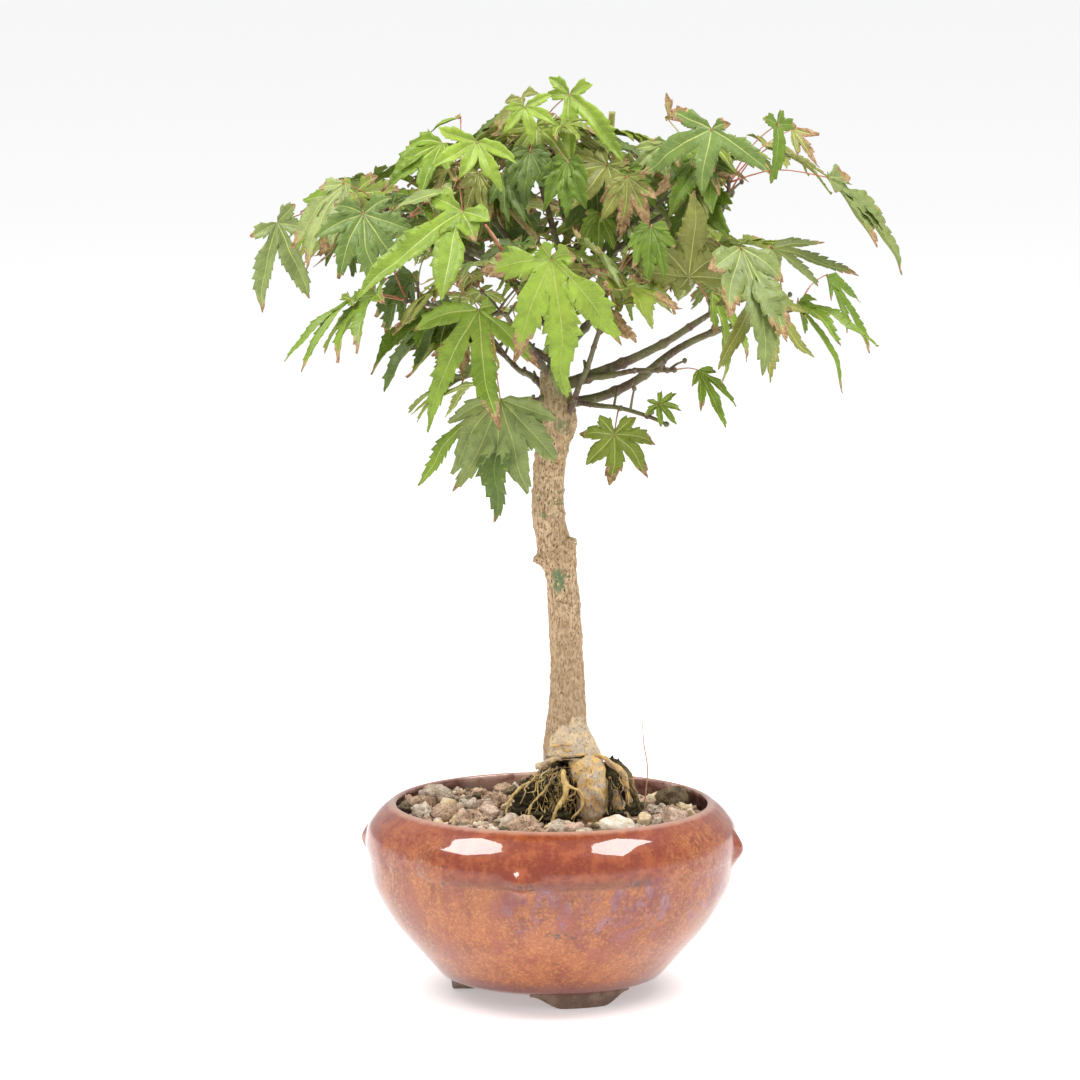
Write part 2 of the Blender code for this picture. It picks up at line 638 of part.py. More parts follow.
def tube(name, path, radii, resolution, collection):
    """A round limb: a curve with a bevel and filled caps, made a closed mesh."""
    curve = bpy.data.curves.new(name, "CURVE")
    curve.dimensions = "3D"
    curve.bevel_depth = MM
    curve.bevel_resolution = resolution
    curve.use_fill_caps = True
    spline = curve.splines.new("POLY")
    spline.points.add(len(path) - 1)
    for point, place, radius in zip(spline.points, path, radii):
        point.co = (*(place * MM), 1.0)
        point.radius = radius
    line = new_object(name + "_line", curve, bpy.context.scene.collection)
    bpy.context.view_layer.update()
    mesh = bpy.data.meshes.new_from_object(line.evaluated_get(bpy.context.evaluated_depsgraph_get()))
    bm = bmesh.new()
    bm.from_mesh(mesh)
    bmesh.ops.remove_doubles(bm, verts=bm.verts, dist=0.00002)
    bmesh.ops.recalc_face_normals(bm, faces=bm.faces)
    bm.to_mesh(mesh)
    bm.free()
    made = new_object(name, mesh, collection)
    made.matrix_world = line.matrix_world
    bpy.data.objects.remove(line)
    return made


def turned(name, profile, collection, sides=BOWL_SIDES):
    """A turned shape: a profile at +X, spun by a Screw modifier."""
    mesh = bpy.data.meshes.new(name)
    points = [(radius * MM, 0.0, height * MM) for radius, height in profile]
    mesh.from_pydata(points, [(i, i + 1) for i in range(len(points) - 1)], [])
    made = new_object(name, mesh, collection)
    spin = made.modifiers.new("spin", "SCREW")
    spin.steps = spin.render_steps = sides
    spin.use_merge_vertices = True
    spin.merge_threshold = 0.00001
    bake_down(made)
    return made


def azimuth_share(angle):
    """1 on a raised panel of the bowl, 0 between panels; the angle is from a button."""
    away = abs((angle + 45.0) % 90.0 - 45.0)
    return 1.0 if away <= PANEL_HALF else 0.0


def make_bowl(collection):
    """A turned bowl with four raised panels on its shoulder and a button on each."""
    rows = [(0.0, BOWL_INSIDE[0][1])] + list(BOWL_INSIDE)
    rows += [(radius, height) for radius, height, share in BOWL_OUTSIDE]
    rows.append((0.0, BOWL_OUTSIDE[-1][1]))
    bowl = turned("pot", rows, collection)
    raises = {(round(r, 2), round(h, 2)): share for r, h, share in BOWL_OUTSIDE if share}
    for vert in bowl.data.vertices:
        radius = math.hypot(vert.co.x, vert.co.y) / MM
        share = raises.get((round(radius, 2), round(vert.co.z / MM, 2)), 0.0)
        if share:
            angle = math.degrees(math.atan2(vert.co.y, vert.co.x))
            grow = 1.0 + PANEL_RAISE * share * azimuth_share(angle) / radius
            vert.co.x *= grow
            vert.co.y *= grow
    buttons = bpy.data.collections.new("buttons")
    bpy.context.scene.collection.children.link(buttons)
    for k in range(4):
        bm = bmesh.new()
        bmesh.ops.create_uvsphere(bm, u_segments=12, v_segments=7, radius=1.0)
        bmesh.ops.scale(bm, verts=bm.verts, vec=Vector(BUTTON_HALF) * MM)
        turn = Matrix.Rotation(math.radians(90.0 * k), 4, "Z")
        out = Matrix.Translation(Vector((BUTTON_RADIUS, 0.0, BUTTON_HEIGHT)) * MM)
        bmesh.ops.transform(bm, matrix=turn @ out, verts=bm.verts)
        mesh = bpy.data.meshes.new("button")
        bm.to_mesh(mesh)
        bm.free()
        new_object("button", mesh, buttons)
    boolean(bowl, "UNION", buttons)
    drop_collection(buttons)
    bowl.rotation_euler.z = math.radians(BOWL_TURN - 90.0)
    return bowl


def drop_collection(collection):
    for item in list(collection.objects):
        bpy.data.objects.remove(item)
    bpy.data.collections.remove(collection)


def make_foot(name, azimuth, collection):
    """A clay foot that follows the base ring: wide at the top, ogee sides, flat underneath."""
    bm = bmesh.new()
    bmesh.ops.create_cube(bm, size=2.0)
    for k in range(1, FOOT_STEPS):
        cut = -1.0 + 2.0 * k / FOOT_STEPS
        every = bm.verts[:] + bm.edges[:] + bm.faces[:]
        bmesh.ops.bisect_plane(bm, geom=every, plane_co=(cut, 0, 0), plane_no=(1, 0, 0))
    middle = sum(FOOT_RING) / 2
    for vert in bm.verts:
        across = vert.co.x * FOOT_HALF_TOP
        radius = FOOT_RING[1] if vert.co.y < 0 else FOOT_RING[0]
        share = max(0.0, (abs(across) - FOOT_HALF_BOTTOM) / (FOOT_HALF_TOP - FOOT_HALF_BOTTOM))
        ogee = share * share * (3.0 - 2.0 * share)
        height = FOOT_TOP if vert.co.z > 0 else (FOOT_TOP - 1.2) * ogee
        turn = across / middle
        vert.co = Vector((math.sin(turn) * radius, -math.cos(turn) * radius, height)) * MM
    bmesh.ops.recalc_face_normals(bm, faces=bm.faces)
    mesh = bpy.data.meshes.new(name)
    bm.to_mesh(mesh)
    bm.free()
    foot = new_object(name, mesh, collection)
    foot.rotation_euler.z = math.radians(azimuth)
    return foot


def stone_mesh(rng, wide, high, detail):
    """A rough pebble: a small icosphere, pushed about and squashed."""
    bm = bmesh.new()
    bmesh.ops.create_icosphere(bm, subdivisions=detail, radius=1.0)
    for vert in bm.verts:
        vert.co *= rng.uniform(0.84, 1.06)
    size = Vector((wide, wide * rng.uniform(0.7, 0.95), high)) * MM
    bmesh.ops.scale(bm, verts=bm.verts, vec=size)
    turn = Matrix.Rotation(rng.uniform(0.0, math.tau), 3, "Z")
    bmesh.ops.rotate(bm, verts=bm.verts, matrix=turn)
    mesh = bpy.data.meshes.new("stone")
    bm.to_mesh(mesh)
    bm.free()
    return mesh


def make_soil(collection):
    """What fills the bowl: flat under the trunk, rough towards the rim, with stones and a dry stalk."""
    rng = random.Random(21)
    rows = [(0.0, SOIL_TOP), (SOIL_SEAT, SOIL_TOP), (46.0, SOIL_TOP), (56.0, SOIL_TOP)]
    rows += [(BOWL_INSIDE[4][0] - 1.6, SOIL_TOP - 1.5)]
    rows += [(radius - GAP * 1.6, height + GAP * 1.6) for radius, height in reversed(BOWL_INSIDE[:4])]
    rows.append((0.0, rows[-1][1]))
    soil = turned("soil", rows, collection)
    for vert in soil.data.vertices:
        radius = math.hypot(vert.co.x, vert.co.y) / MM
        if vert.co.z > (SOIL_TOP - 2.0) * MM and 40.0 < radius < 60.0:
            vert.co.z += rng.uniform(-SOIL_ROUGH, SOIL_ROUGH) * MM
    soil.data.transform(Matrix.Rotation(math.radians(BOWL_TURN - 90.0), 4, "Z"))
    stones = bpy.data.collections.new("stones")
    bpy.context.scene.collection.children.link(stones)
    for x, y, wide, high in STONES:
        stone = new_object("stone", stone_mesh(rng, wide, high, 2 if wide > 5.5 else 1), stones)
        stone.location = Vector((x, y, SOIL_TOP + 0.25 * high)) * MM
    for k in range(GRAVEL_COUNT):
        place = polar(110.0 + 200.0 * k / GRAVEL_COUNT + rng.uniform(-4, 4)) * rng.uniform(42.0, 57.0)
        stone = new_object("stone", stone_mesh(rng, rng.uniform(2.6, 4.4), 3.0, 1), stones)
        stone.location = (place + Vector((0, 0, SOIL_TOP + 0.4))) * MM
    bottom, middle, top = (Vector(point) for point in STALK)
    from_shell("stalk", ring_shell([bottom, middle, top], [0.5, 0.45, 0.4], 3), stones)
    boolean(soil, "UNION", stones)
    drop_collection(stones)
    keep_largest(soil)
    return soil


def make_trunk(limbs, collection):
    """The trunk from its flat cut to the fork, with its surface roots and burr fused on."""
    path, radii = limbs["trunk"]
    trunk = tube("trunk", path, radii, TRUNK_BEVEL, collection)
    base = bpy.data.collections.new("root_base")
    bpy.context.scene.collection.children.link(base)
    for azimuth, height, spread, radius in ROOTS:
        foot = Vector((path[1].x, path[1].y, 0.0))
        top = foot + polar(azimuth) * 7.0 + Vector((0, 0, height + 3.0))
        knee = foot + polar(azimuth) * spread * 0.72 + Vector((0, 0, height - 9.0))
        toe = foot + polar(azimuth) * spread + Vector((0, 0, SOIL_TOP + 2.0))
        low = foot + polar(azimuth) * (spread + 2.0) + Vector((0, 0, SOIL_TOP - 6.0))
        tube("root", [top, knee, toe, low], [radius * 0.8, radius, radius, radius], 1, base)
    bm = bmesh.new()
    bmesh.ops.create_uvsphere(bm, u_segments=12, v_segments=8, radius=1.0)
    bmesh.ops.scale(bm, verts=bm.verts, vec=Vector(BURR_HALF) * MM)
    bmesh.ops.translate(bm, verts=bm.verts, vec=Vector(BURR_CENTRE) * MM)
    mesh = bpy.data.meshes.new("burr")
    bm.to_mesh(mesh)
    bm.free()
    new_object("burr", mesh, base)
    boolean(trunk, "UNION", base)
    drop_collection(base)
    bpy.ops.mesh.primitive_cube_add(size=120.0 * MM, location=(0, 0, (SOIL_TOP + GAP - 60.0) * MM))
    ground = bpy.context.object
    boolean(trunk, "DIFFERENCE", ground)
    bpy.data.objects.remove(ground)
    keep_largest(trunk)
    return trunk


def near(path, other, reach):
    """Whether two middle lines come within reach of each other."""
    spots = [[along(line, i / 24) for i in range(25)] for line in (path, other)]
    return any((p - q).length < reach for p in spots[0] for q in spots[1])


def make_limbs(limbs, collection):
    """Every bough as a tube, cut 0.3 mm clear of its parent and of what already grows there."""
    done = ["trunk"]
    for name in LIMBS:
        path, radii = limbs[name]
        limb = tube(name, path, radii, LIMB_BEVEL, collection)
        for other in done:
            line, thick = limbs[other]
            if other == "trunk":
                line, thick = line[-TRUNK_TOP:], thick[-TRUNK_TOP:]
            if not near(path, line, radii[0] + max(thick) + 2.0):
                continue
            grown = [radius + GAP for radius in thick]
            ends = (line[1] - line[0]).normalized(), (line[-1] - line[-2]).normalized()
            longer = [line[0] - ends[0] * GAP] + line[1:-1] + [line[-1] + ends[1] * GAP]
            sides = TRUNK_BEVEL if other == "trunk" else LIMB_BEVEL
            cutter = tube("cutter", longer, grown, sides, collection)
            boolean(limb, "DIFFERENCE", cutter)
            bpy.data.objects.remove(cutter)
            keep_largest(limb)
        done.append(name)


def make_mass(name, mass, collection):
    """A mass of foliage: one Boolean union of its stem, twigs, stalks and blades."""
    stem = from_shell(name, ring_shell(*mass["stem"], STEM_SIDES), collection)
    pieces = bpy.data.collections.new(name + "_pieces")
    bpy.context.scene.collection.children.link(pieces)
    for path, radii in mass["twigs"]:
        from_shell("twig", ring_shell(path, radii, 3), pieces)
    for leaf in mass["leaves"]:
        from_shell("stalk", ring_shell(leaf["stalk"], leaf["radii"], 3), pieces)
        from_shell("blade", blade_shell(leaf), pieces)
    boolean(stem, "UNION", pieces, ("MANIFOLD", "EXACT"))
    drop_collection(pieces)
    scraps = keep_largest(stem)
    if scraps:
        print("loose scraps dropped from", name, scraps)
    return stem


def main():
    clear_scene()
    plant = bpy.data.collections.new("potted_maple")
    bpy.context.scene.collection.children.link(plant)
    make_bowl(plant).data.materials.append(material("glaze"))
    for name, azimuth in FOOT_AZIMUTHS.items():
        make_foot(name, azimuth, plant).data.materials.append(material("clay"))
    make_soil(plant).data.materials.append(material("soil"))
    limbs = grow_limbs()
    masses = grow_masses(limbs)
    make_trunk(limbs, plant)
    make_limbs(limbs, plant)
    for name, mass in masses.items():
        make_mass(name, mass, plant)
    for item in plant.objects:
        kind = "foliage" if item.name in masses else "bark" if item.name == "trunk" else "bough"
        if not item.data.materials:
            item.data.materials.append(material(kind))
        item.data.shade_flat() if kind == "foliage" else item.data.shade_smooth()
        if kind != "foliage":
            item.data.set_sharp_from_angle(angle=math.radians(40.0))
    bpy.context.view_layer.update()
    places = [item.matrix_world @ vert.co for item in plant.objects for vert in item.data.vertices]
    low = Vector([min(place[i] for place in places) for i in range(3)])
    high = Vector([max(place[i] for place in places) for i in range(3)])
    base = bpy.data.objects.new("potted_maple_base", None)
    plant.objects.link(base)
    for item in list(plant.objects):
        if item is not base:
            item.parent = base
    base.location = (-(low.x + high.x) / 2, -(low.y + high.y) / 2, -low.z)
    bpy.context.view_layer.update()


main()
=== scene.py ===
"""Looks of the bonsai maple: serrated leaves, bark, roots, stones and a glazed bowl round its frame.

Sizes are in millimetres from the bowl's axis at table level, as in the part's own source: world()
turns them into the frame's metres. Azimuths are in degrees from the front (-Y) towards +X, rises in
degrees above the horizontal. Every shape has its own seed, so each run gives the same plant.
"""

import math
import random

import bmesh
import bpy
from mathutils import Matrix, Vector, noise
from mathutils.bvhtree import BVHTree

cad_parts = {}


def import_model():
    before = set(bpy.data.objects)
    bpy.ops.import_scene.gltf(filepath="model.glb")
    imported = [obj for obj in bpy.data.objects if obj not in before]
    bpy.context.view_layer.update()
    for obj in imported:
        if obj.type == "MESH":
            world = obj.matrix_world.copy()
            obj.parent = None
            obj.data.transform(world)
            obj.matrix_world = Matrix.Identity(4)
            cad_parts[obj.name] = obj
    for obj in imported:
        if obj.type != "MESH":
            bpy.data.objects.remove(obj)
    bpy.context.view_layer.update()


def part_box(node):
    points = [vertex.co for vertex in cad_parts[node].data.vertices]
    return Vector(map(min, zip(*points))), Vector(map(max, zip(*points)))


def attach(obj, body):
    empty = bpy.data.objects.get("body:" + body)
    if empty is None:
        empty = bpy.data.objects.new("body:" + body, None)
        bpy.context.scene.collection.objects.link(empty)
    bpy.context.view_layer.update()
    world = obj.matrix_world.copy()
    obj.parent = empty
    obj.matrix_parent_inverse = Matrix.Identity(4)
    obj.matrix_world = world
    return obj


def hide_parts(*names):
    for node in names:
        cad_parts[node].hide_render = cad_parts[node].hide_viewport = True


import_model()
pot_low, pot_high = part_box("pot")

# without a seed of its own, noise.noise_vector takes one from the clock
NOISE_SEED = 5
noise.seed_set(NOISE_SEED)

MM = 0.001
# the bowl's axis in the frame, and the gap between a mass's stem and its limb
AXIS = Vector(((pot_low.x + pot_high.x) / 2, (pot_low.y + pot_high.y) / 2, 0.0))
GAP = 0.3

# ---- camera, in the photograph's 1080 x 1080 frame; degrees below the horizontal, lens in mm
CAMERA_AWAY = 3000.0
CAMERA_HEIGHT = 659.0
CAMERA_ASIDE = -4.8
CAMERA_PITCH = 8.97
CAMERA_LENS = 250.0

# ---- bowl: azimuth of its front button, then (radius, height) down the outer wall from the lip and
# up the inner one from the floor
BOWL_TURN = -9.0
BOWL_SIDES = 252
BOWL_OUTSIDE = (
    (64.2, 77.8), (66.0, 77.2), (69.8, 74.4), (72.6, 71.0), (74.3, 67.5), (75.2, 62.0), (75.1, 57.6),
    (74.7, 56.4), (74.1, 51.0), (72.2, 43.0), (65.0, 30.5), (54.8, 18.4), (45.0, 7.6), (42.0, 6.3),
)
BOWL_INSIDE = ((57.0, 26.0), (66.0, 43.0), (69.0, 57.0), (67.0, 69.0), (63.4, 76.2))
# half a panel's width in degrees, and how far it is raised
PANEL_HALF = 36.5
PANEL_RAISE = 1.4
# the panels: share of the full raise, heights of the ledge below, whether the crease stops at it;
# then the button's height, half width and half height, how far out, and how blunt its tip is
SIDE_PANEL = (0.4, (53.0, 60.5), 0.0, 60.5, (6.0, 8.0), 3.6, 0.2)
FRONT_PANEL = (1.0, (55.6, 57.8), 1.0, 59.2, (6.4, 5.6), 5.0, 1.6)
BODY_RADIUS = 75.0
# how far the wall steps in at the crease
CREASE_STEP = 0.34

# ---- feet: azimuths, height, inner and outer radius, half lengths at the top and on the table
FOOT_AZIMUTHS = {"foot_front": 18.6, "foot_left": 258.6, "foot_back": 138.6}
FOOT_TOP = 6.0
FOOT_RING = (31.0, 41.5)
FOOT_HALF_TOP = 20.0
FOOT_HALF_BOTTOM = 7.6
FOOT_CUTS = 24

# ---- soil, the dry stalk's points, and gravel; a kind named twice comes twice as often
SOIL_TOP = 71.0
SOIL_RADIUS = 65.6
SOIL_RINGS = 60
SOIL_SIDES = 160
STALK = (
    (37.5, -4.0, 70.0), (38.0, -3.6, 80.0), (38.9, -3.0, 92.0), (37.4, -2.5, 102.0), (36.8, -2.0, 111.0),
)
STONE_SEED = 33
GRAVEL_COUNT = 520
GRAVEL_TRIES = 30000
GRAVEL_SIZES = (1.1, 1.3, 1.6, 2.0, 2.4, 3.2, 4.2)
GRAVEL_KINDS = ("brown", "brown", "brown", "dark", "grey", "rose", "brown", "cream", "dark", "grey")
ROUGH_STONES = ("pumice", "brown", "dark")
# gravel keeps this far from the trunk's foot
ROOT_BASE_RADIUS = 17.0
# ---- stones: x, y, half width, half height, kind
STONES = (
    (-48.0, 24.0, 6.6, 5.2, "pumice"),
    (-54.0, 8.0, 5.4, 4.0, "brown"),
    (-42.0, -3.0, 4.3, 4.4, "cream"),
    (-32.0, 4.0, 3.2, 3.4, "grey"),
    (-25.0, -5.0, 3.7, 3.2, "rose"),
    (-12.5, -36.0, 6.2, 4.6, "brown"),
    (-46.0, -35.0, 3.1, 3.0, "cream"),
    (-19.0, -53.0, 3.0, 3.0, "cream"),
    (2.5, -35.0, 3.6, 4.4, "grey"),
    (13.0, -47.0, 4.8, 3.4, "grey"),
    (26.5, -34.0, 7.4, 5.0, "white"),
    (37.5, -14.0, 3.0, 3.6, "cream"),
    (49.0, 27.0, 5.2, 5.6, "dark"),
    (42.5, 38.0, 3.4, 3.4, "cream"),
    (50.0, -17.0, 5.8, 4.4, "rose"),
    (56.5, -4.0, 3.0, 3.6, "cream"),
    (40.0, -42.0, 3.3, 3.0, "cream"),
)

# the tree's heights below are stretched from the soil up, and its front is carried a little higher
TREE_STRETCH = 1.013
FRONT_LIFT = 0.055

# ---- trunk: height, x, y, width
TRUNK = (
    (66.0, 8.6, -0.5, 33.0),
    (74.0, 8.8, -0.5, 30.0),
    (84.0, 8.8, 0.0, 27.0),
    (93.0, 8.6, 0.0, 24.0),
    (101.0, 7.4, 0.0, 21.5),
    (109.0, 6.0, 0.0, 17.0),
    (119.0, 6.3, 0.4, 15.2),
    (134.0, 6.2, 0.8, 13.8),
    (159.0, 4.8, 0.8, 13.4),
    (169.0, 3.9, 0.5, 12.8),
    (175.5, 2.1, 0.2, 15.4),
    (182.0, 1.0, 0.0, 14.4),
    (196.0, -1.6, -0.6, 13.4),
    (214.0, -0.9, -0.8, 12.8),
    (225.0, 0.8, -0.6, 14.4),
    (233.0, 2.2, -0.4, 15.0),
    (242.0, 1.8, -0.2, 13.4),
    (252.0, 0.6, 0.0, 11.0),
)

# ---- limbs: name: parent, where on it (a height on the trunk, else 0 to 1), azimuth, rise,
# length, lift, wave, radius at both ends
LIMB_STEPS = 5
LIMB_KINK = 0.7
LIMBS = {
    "leader": ("trunk", 250.5, 115.0, 78.5, 47.0, 0.0, 0.0, 3.7, 2.2),
    "bough_right_upper": ("trunk", 245.5, 79.0, 25.5, 62.0, -2.6, 0.0, 2.8, 1.4),
    "bough_right_lower": ("trunk", 239.0, 98.0, 22.0, 87.0, -1.5, -3.6, 2.3, 1.2),
    "bough_riser": ("trunk", 225.0, 47.0, 61.0, 46.0, -2.0, 0.0, 1.6, 1.0),
    "bough_right_low": ("trunk", 240.5, 68.0, -4.0, 20.0, 0.5, 0.0, 1.4, 1.0),
    "bough_left_low": ("trunk", 242.0, -62.0, -6.0, 15.0, 0.0, 0.0, 1.4, 1.0),
    "bough_back_low": ("trunk", 238.0, 205.0, 16.0, 44.0, 2.0, 0.0, 1.8, 1.1),
    "bough_right_front": ("bough_right_upper", 0.13, 62.0, 11.0, 36.0, 1.0, 0.0, 1.5, 1.0),
    "bough_front_left": ("trunk", 250.0, -29.0, 36.0, 46.0, -2.0, 0.0, 1.9, 1.0),
    "bough_left": ("leader", 0.12, -60.0, 26.0, 56.0, 2.0, 0.0, 2.0, 1.1),
    "bough_back_right": ("leader", 0.2, 136.0, 26.0, 60.0, 2.0, 0.0, 2.0, 1.1),
    "bough_back_left": ("leader", 0.3, 219.0, 32.0, 58.0, 2.0, 0.0, 2.0, 1.1),
    "bough_front": ("leader", 0.42, -15.0, 32.0, 44.0, 2.0, 0.0, 1.7, 1.0),
    "bough_left_far": ("leader", 0.5, -77.0, 29.0, 62.0, 4.0, 0.0, 2.1, 1.1),
    "bough_right_far": ("leader", 0.55, 90.0, 33.0, 68.0, 3.0, 0.0, 2.1, 1.1),
    "bough_left_back": ("leader", 0.62, 252.0, 24.0, 64.0, 3.0, 0.0, 1.9, 1.1),
    "bough_top_left": ("leader", 0.68, -62.0, 44.0, 48.0, -3.0, 0.0, 1.7, 1.0),
    "bough_right_back": ("leader", 0.72, 118.0, 33.0, 60.0, 2.0, 0.0, 1.8, 1.0),
    "bough_top_right": ("leader", 0.82, 76.0, 42.0, 54.0, 2.0, 0.0, 1.8, 1.0),
    "bough_back_top": ("leader", 0.86, 188.0, 46.0, 46.0, 0.0, 0.0, 1.7, 1.0),
    "bough_top": ("leader", 0.8, -64.0, 72.0, 50.0, 0.0, 0.0, 1.7, 1.0),
}

# ---- masses of foliage: name: limb that carries it, stem azimuth, rise and length, leaves dealt
# by rule, how far they may fan from the stem's azimuth, reach from the stem's end
MASSES = {
    "foliage_crown": ("leader", 120.0, 72.0, 24.0, 4, 180.0, 56.0),
    "foliage_right_upper": ("bough_right_upper", 66.0, 34.0, 20.0, 1, 60.0, 50.0),
    "foliage_right_lower": ("bough_right_lower", 96.0, 14.0, 18.0, 1, 60.0, 52.0),
    "foliage_riser": ("bough_riser", 30.0, 66.0, 24.0, 2, 80.0, 46.0),
    "foliage_right_low": ("bough_right_low", 76.0, -14.0, 27.0, 0, 60.0, 40.0),
    "foliage_left_low": ("bough_left_low", -62.0, -4.0, 12.0, 2, 70.0, 44.0),
    "foliage_back_low": ("bough_back_low", 205.0, 20.0, 20.0, 5, 110.0, 56.0),
    "foliage_right_front": ("bough_right_front", 66.0, 4.0, 10.0, 0, 60.0, 44.0),
    "foliage_front_left": ("bough_front_left", -36.0, 12.0, 13.0, 1, 60.0, 52.0),
    "foliage_left": ("bough_left", -68.0, 14.0, 18.0, 1, 60.0, 52.0),
    "foliage_back_right": ("bough_back_right", 136.0, 24.0, 24.0, 6, 110.0, 58.0),
    "foliage_back_left": ("bough_back_left", 219.0, 26.0, 24.0, 6, 110.0, 58.0),
    "foliage_front": ("bough_front", -4.0, 14.0, 13.0, 1, 60.0, 56.0),
    "foliage_left_far": ("bough_left_far", -80.0, 40.0, 24.0, 1, 70.0, 56.0),
    "foliage_right_far": ("bough_right_far", 90.0, 62.0, 18.0, 1, 60.0, 56.0),
    "foliage_left_back": ("bough_left_back", 250.0, 18.0, 24.0, 6, 100.0, 58.0),
    "foliage_top_left": ("bough_top_left", -60.0, 50.0, 22.0, 1, 80.0, 46.0),
    "foliage_right_back": ("bough_right_back", 116.0, 26.0, 24.0, 6, 100.0, 58.0),
    "foliage_top_right": ("bough_top_right", 80.0, 38.0, 22.0, 3, 90.0, 50.0),
    "foliage_back_top": ("bough_back_top", 186.0, 40.0, 22.0, 6, 120.0, 54.0),
    "foliage_top": ("bough_top", -20.0, 72.0, 14.0, 2, 150.0, 46.0),
}

# ---- lobes of a blade: angle from the middle one and length as a share of it. A positive angle is
# to the left of a leaf that is looked at from above with its tip away
SLIM, PLAIN, BROAD = 0.09, 0.135, 0.16
LOBES = ((0.0, 1.0), (38.0, 0.9), (79.0, 0.64), (125.0, 0.34))
FULL = ((-125, 0.34), (-79, 0.64), (-38, 0.9), (0, 1.0), (38, 0.9), (79, 0.64), (125, 0.34))
HAND = ((-80, 0.3), (-48, 0.6), (-24, 0.86), (0, 1.0), (26, 0.82), (54, 0.55), (90, 0.3))
STAR = ((-140, 0.5), (-95, 0.72), (-46, 0.8), (0, 1.0), (42, 0.95), (88, 0.85), (134, 0.55))
LANCE = ((-70, 0.22), (0, 1.0), (64, 0.2))
PALM = tuple((angle, share, 1.3) for angle, share in STAR)

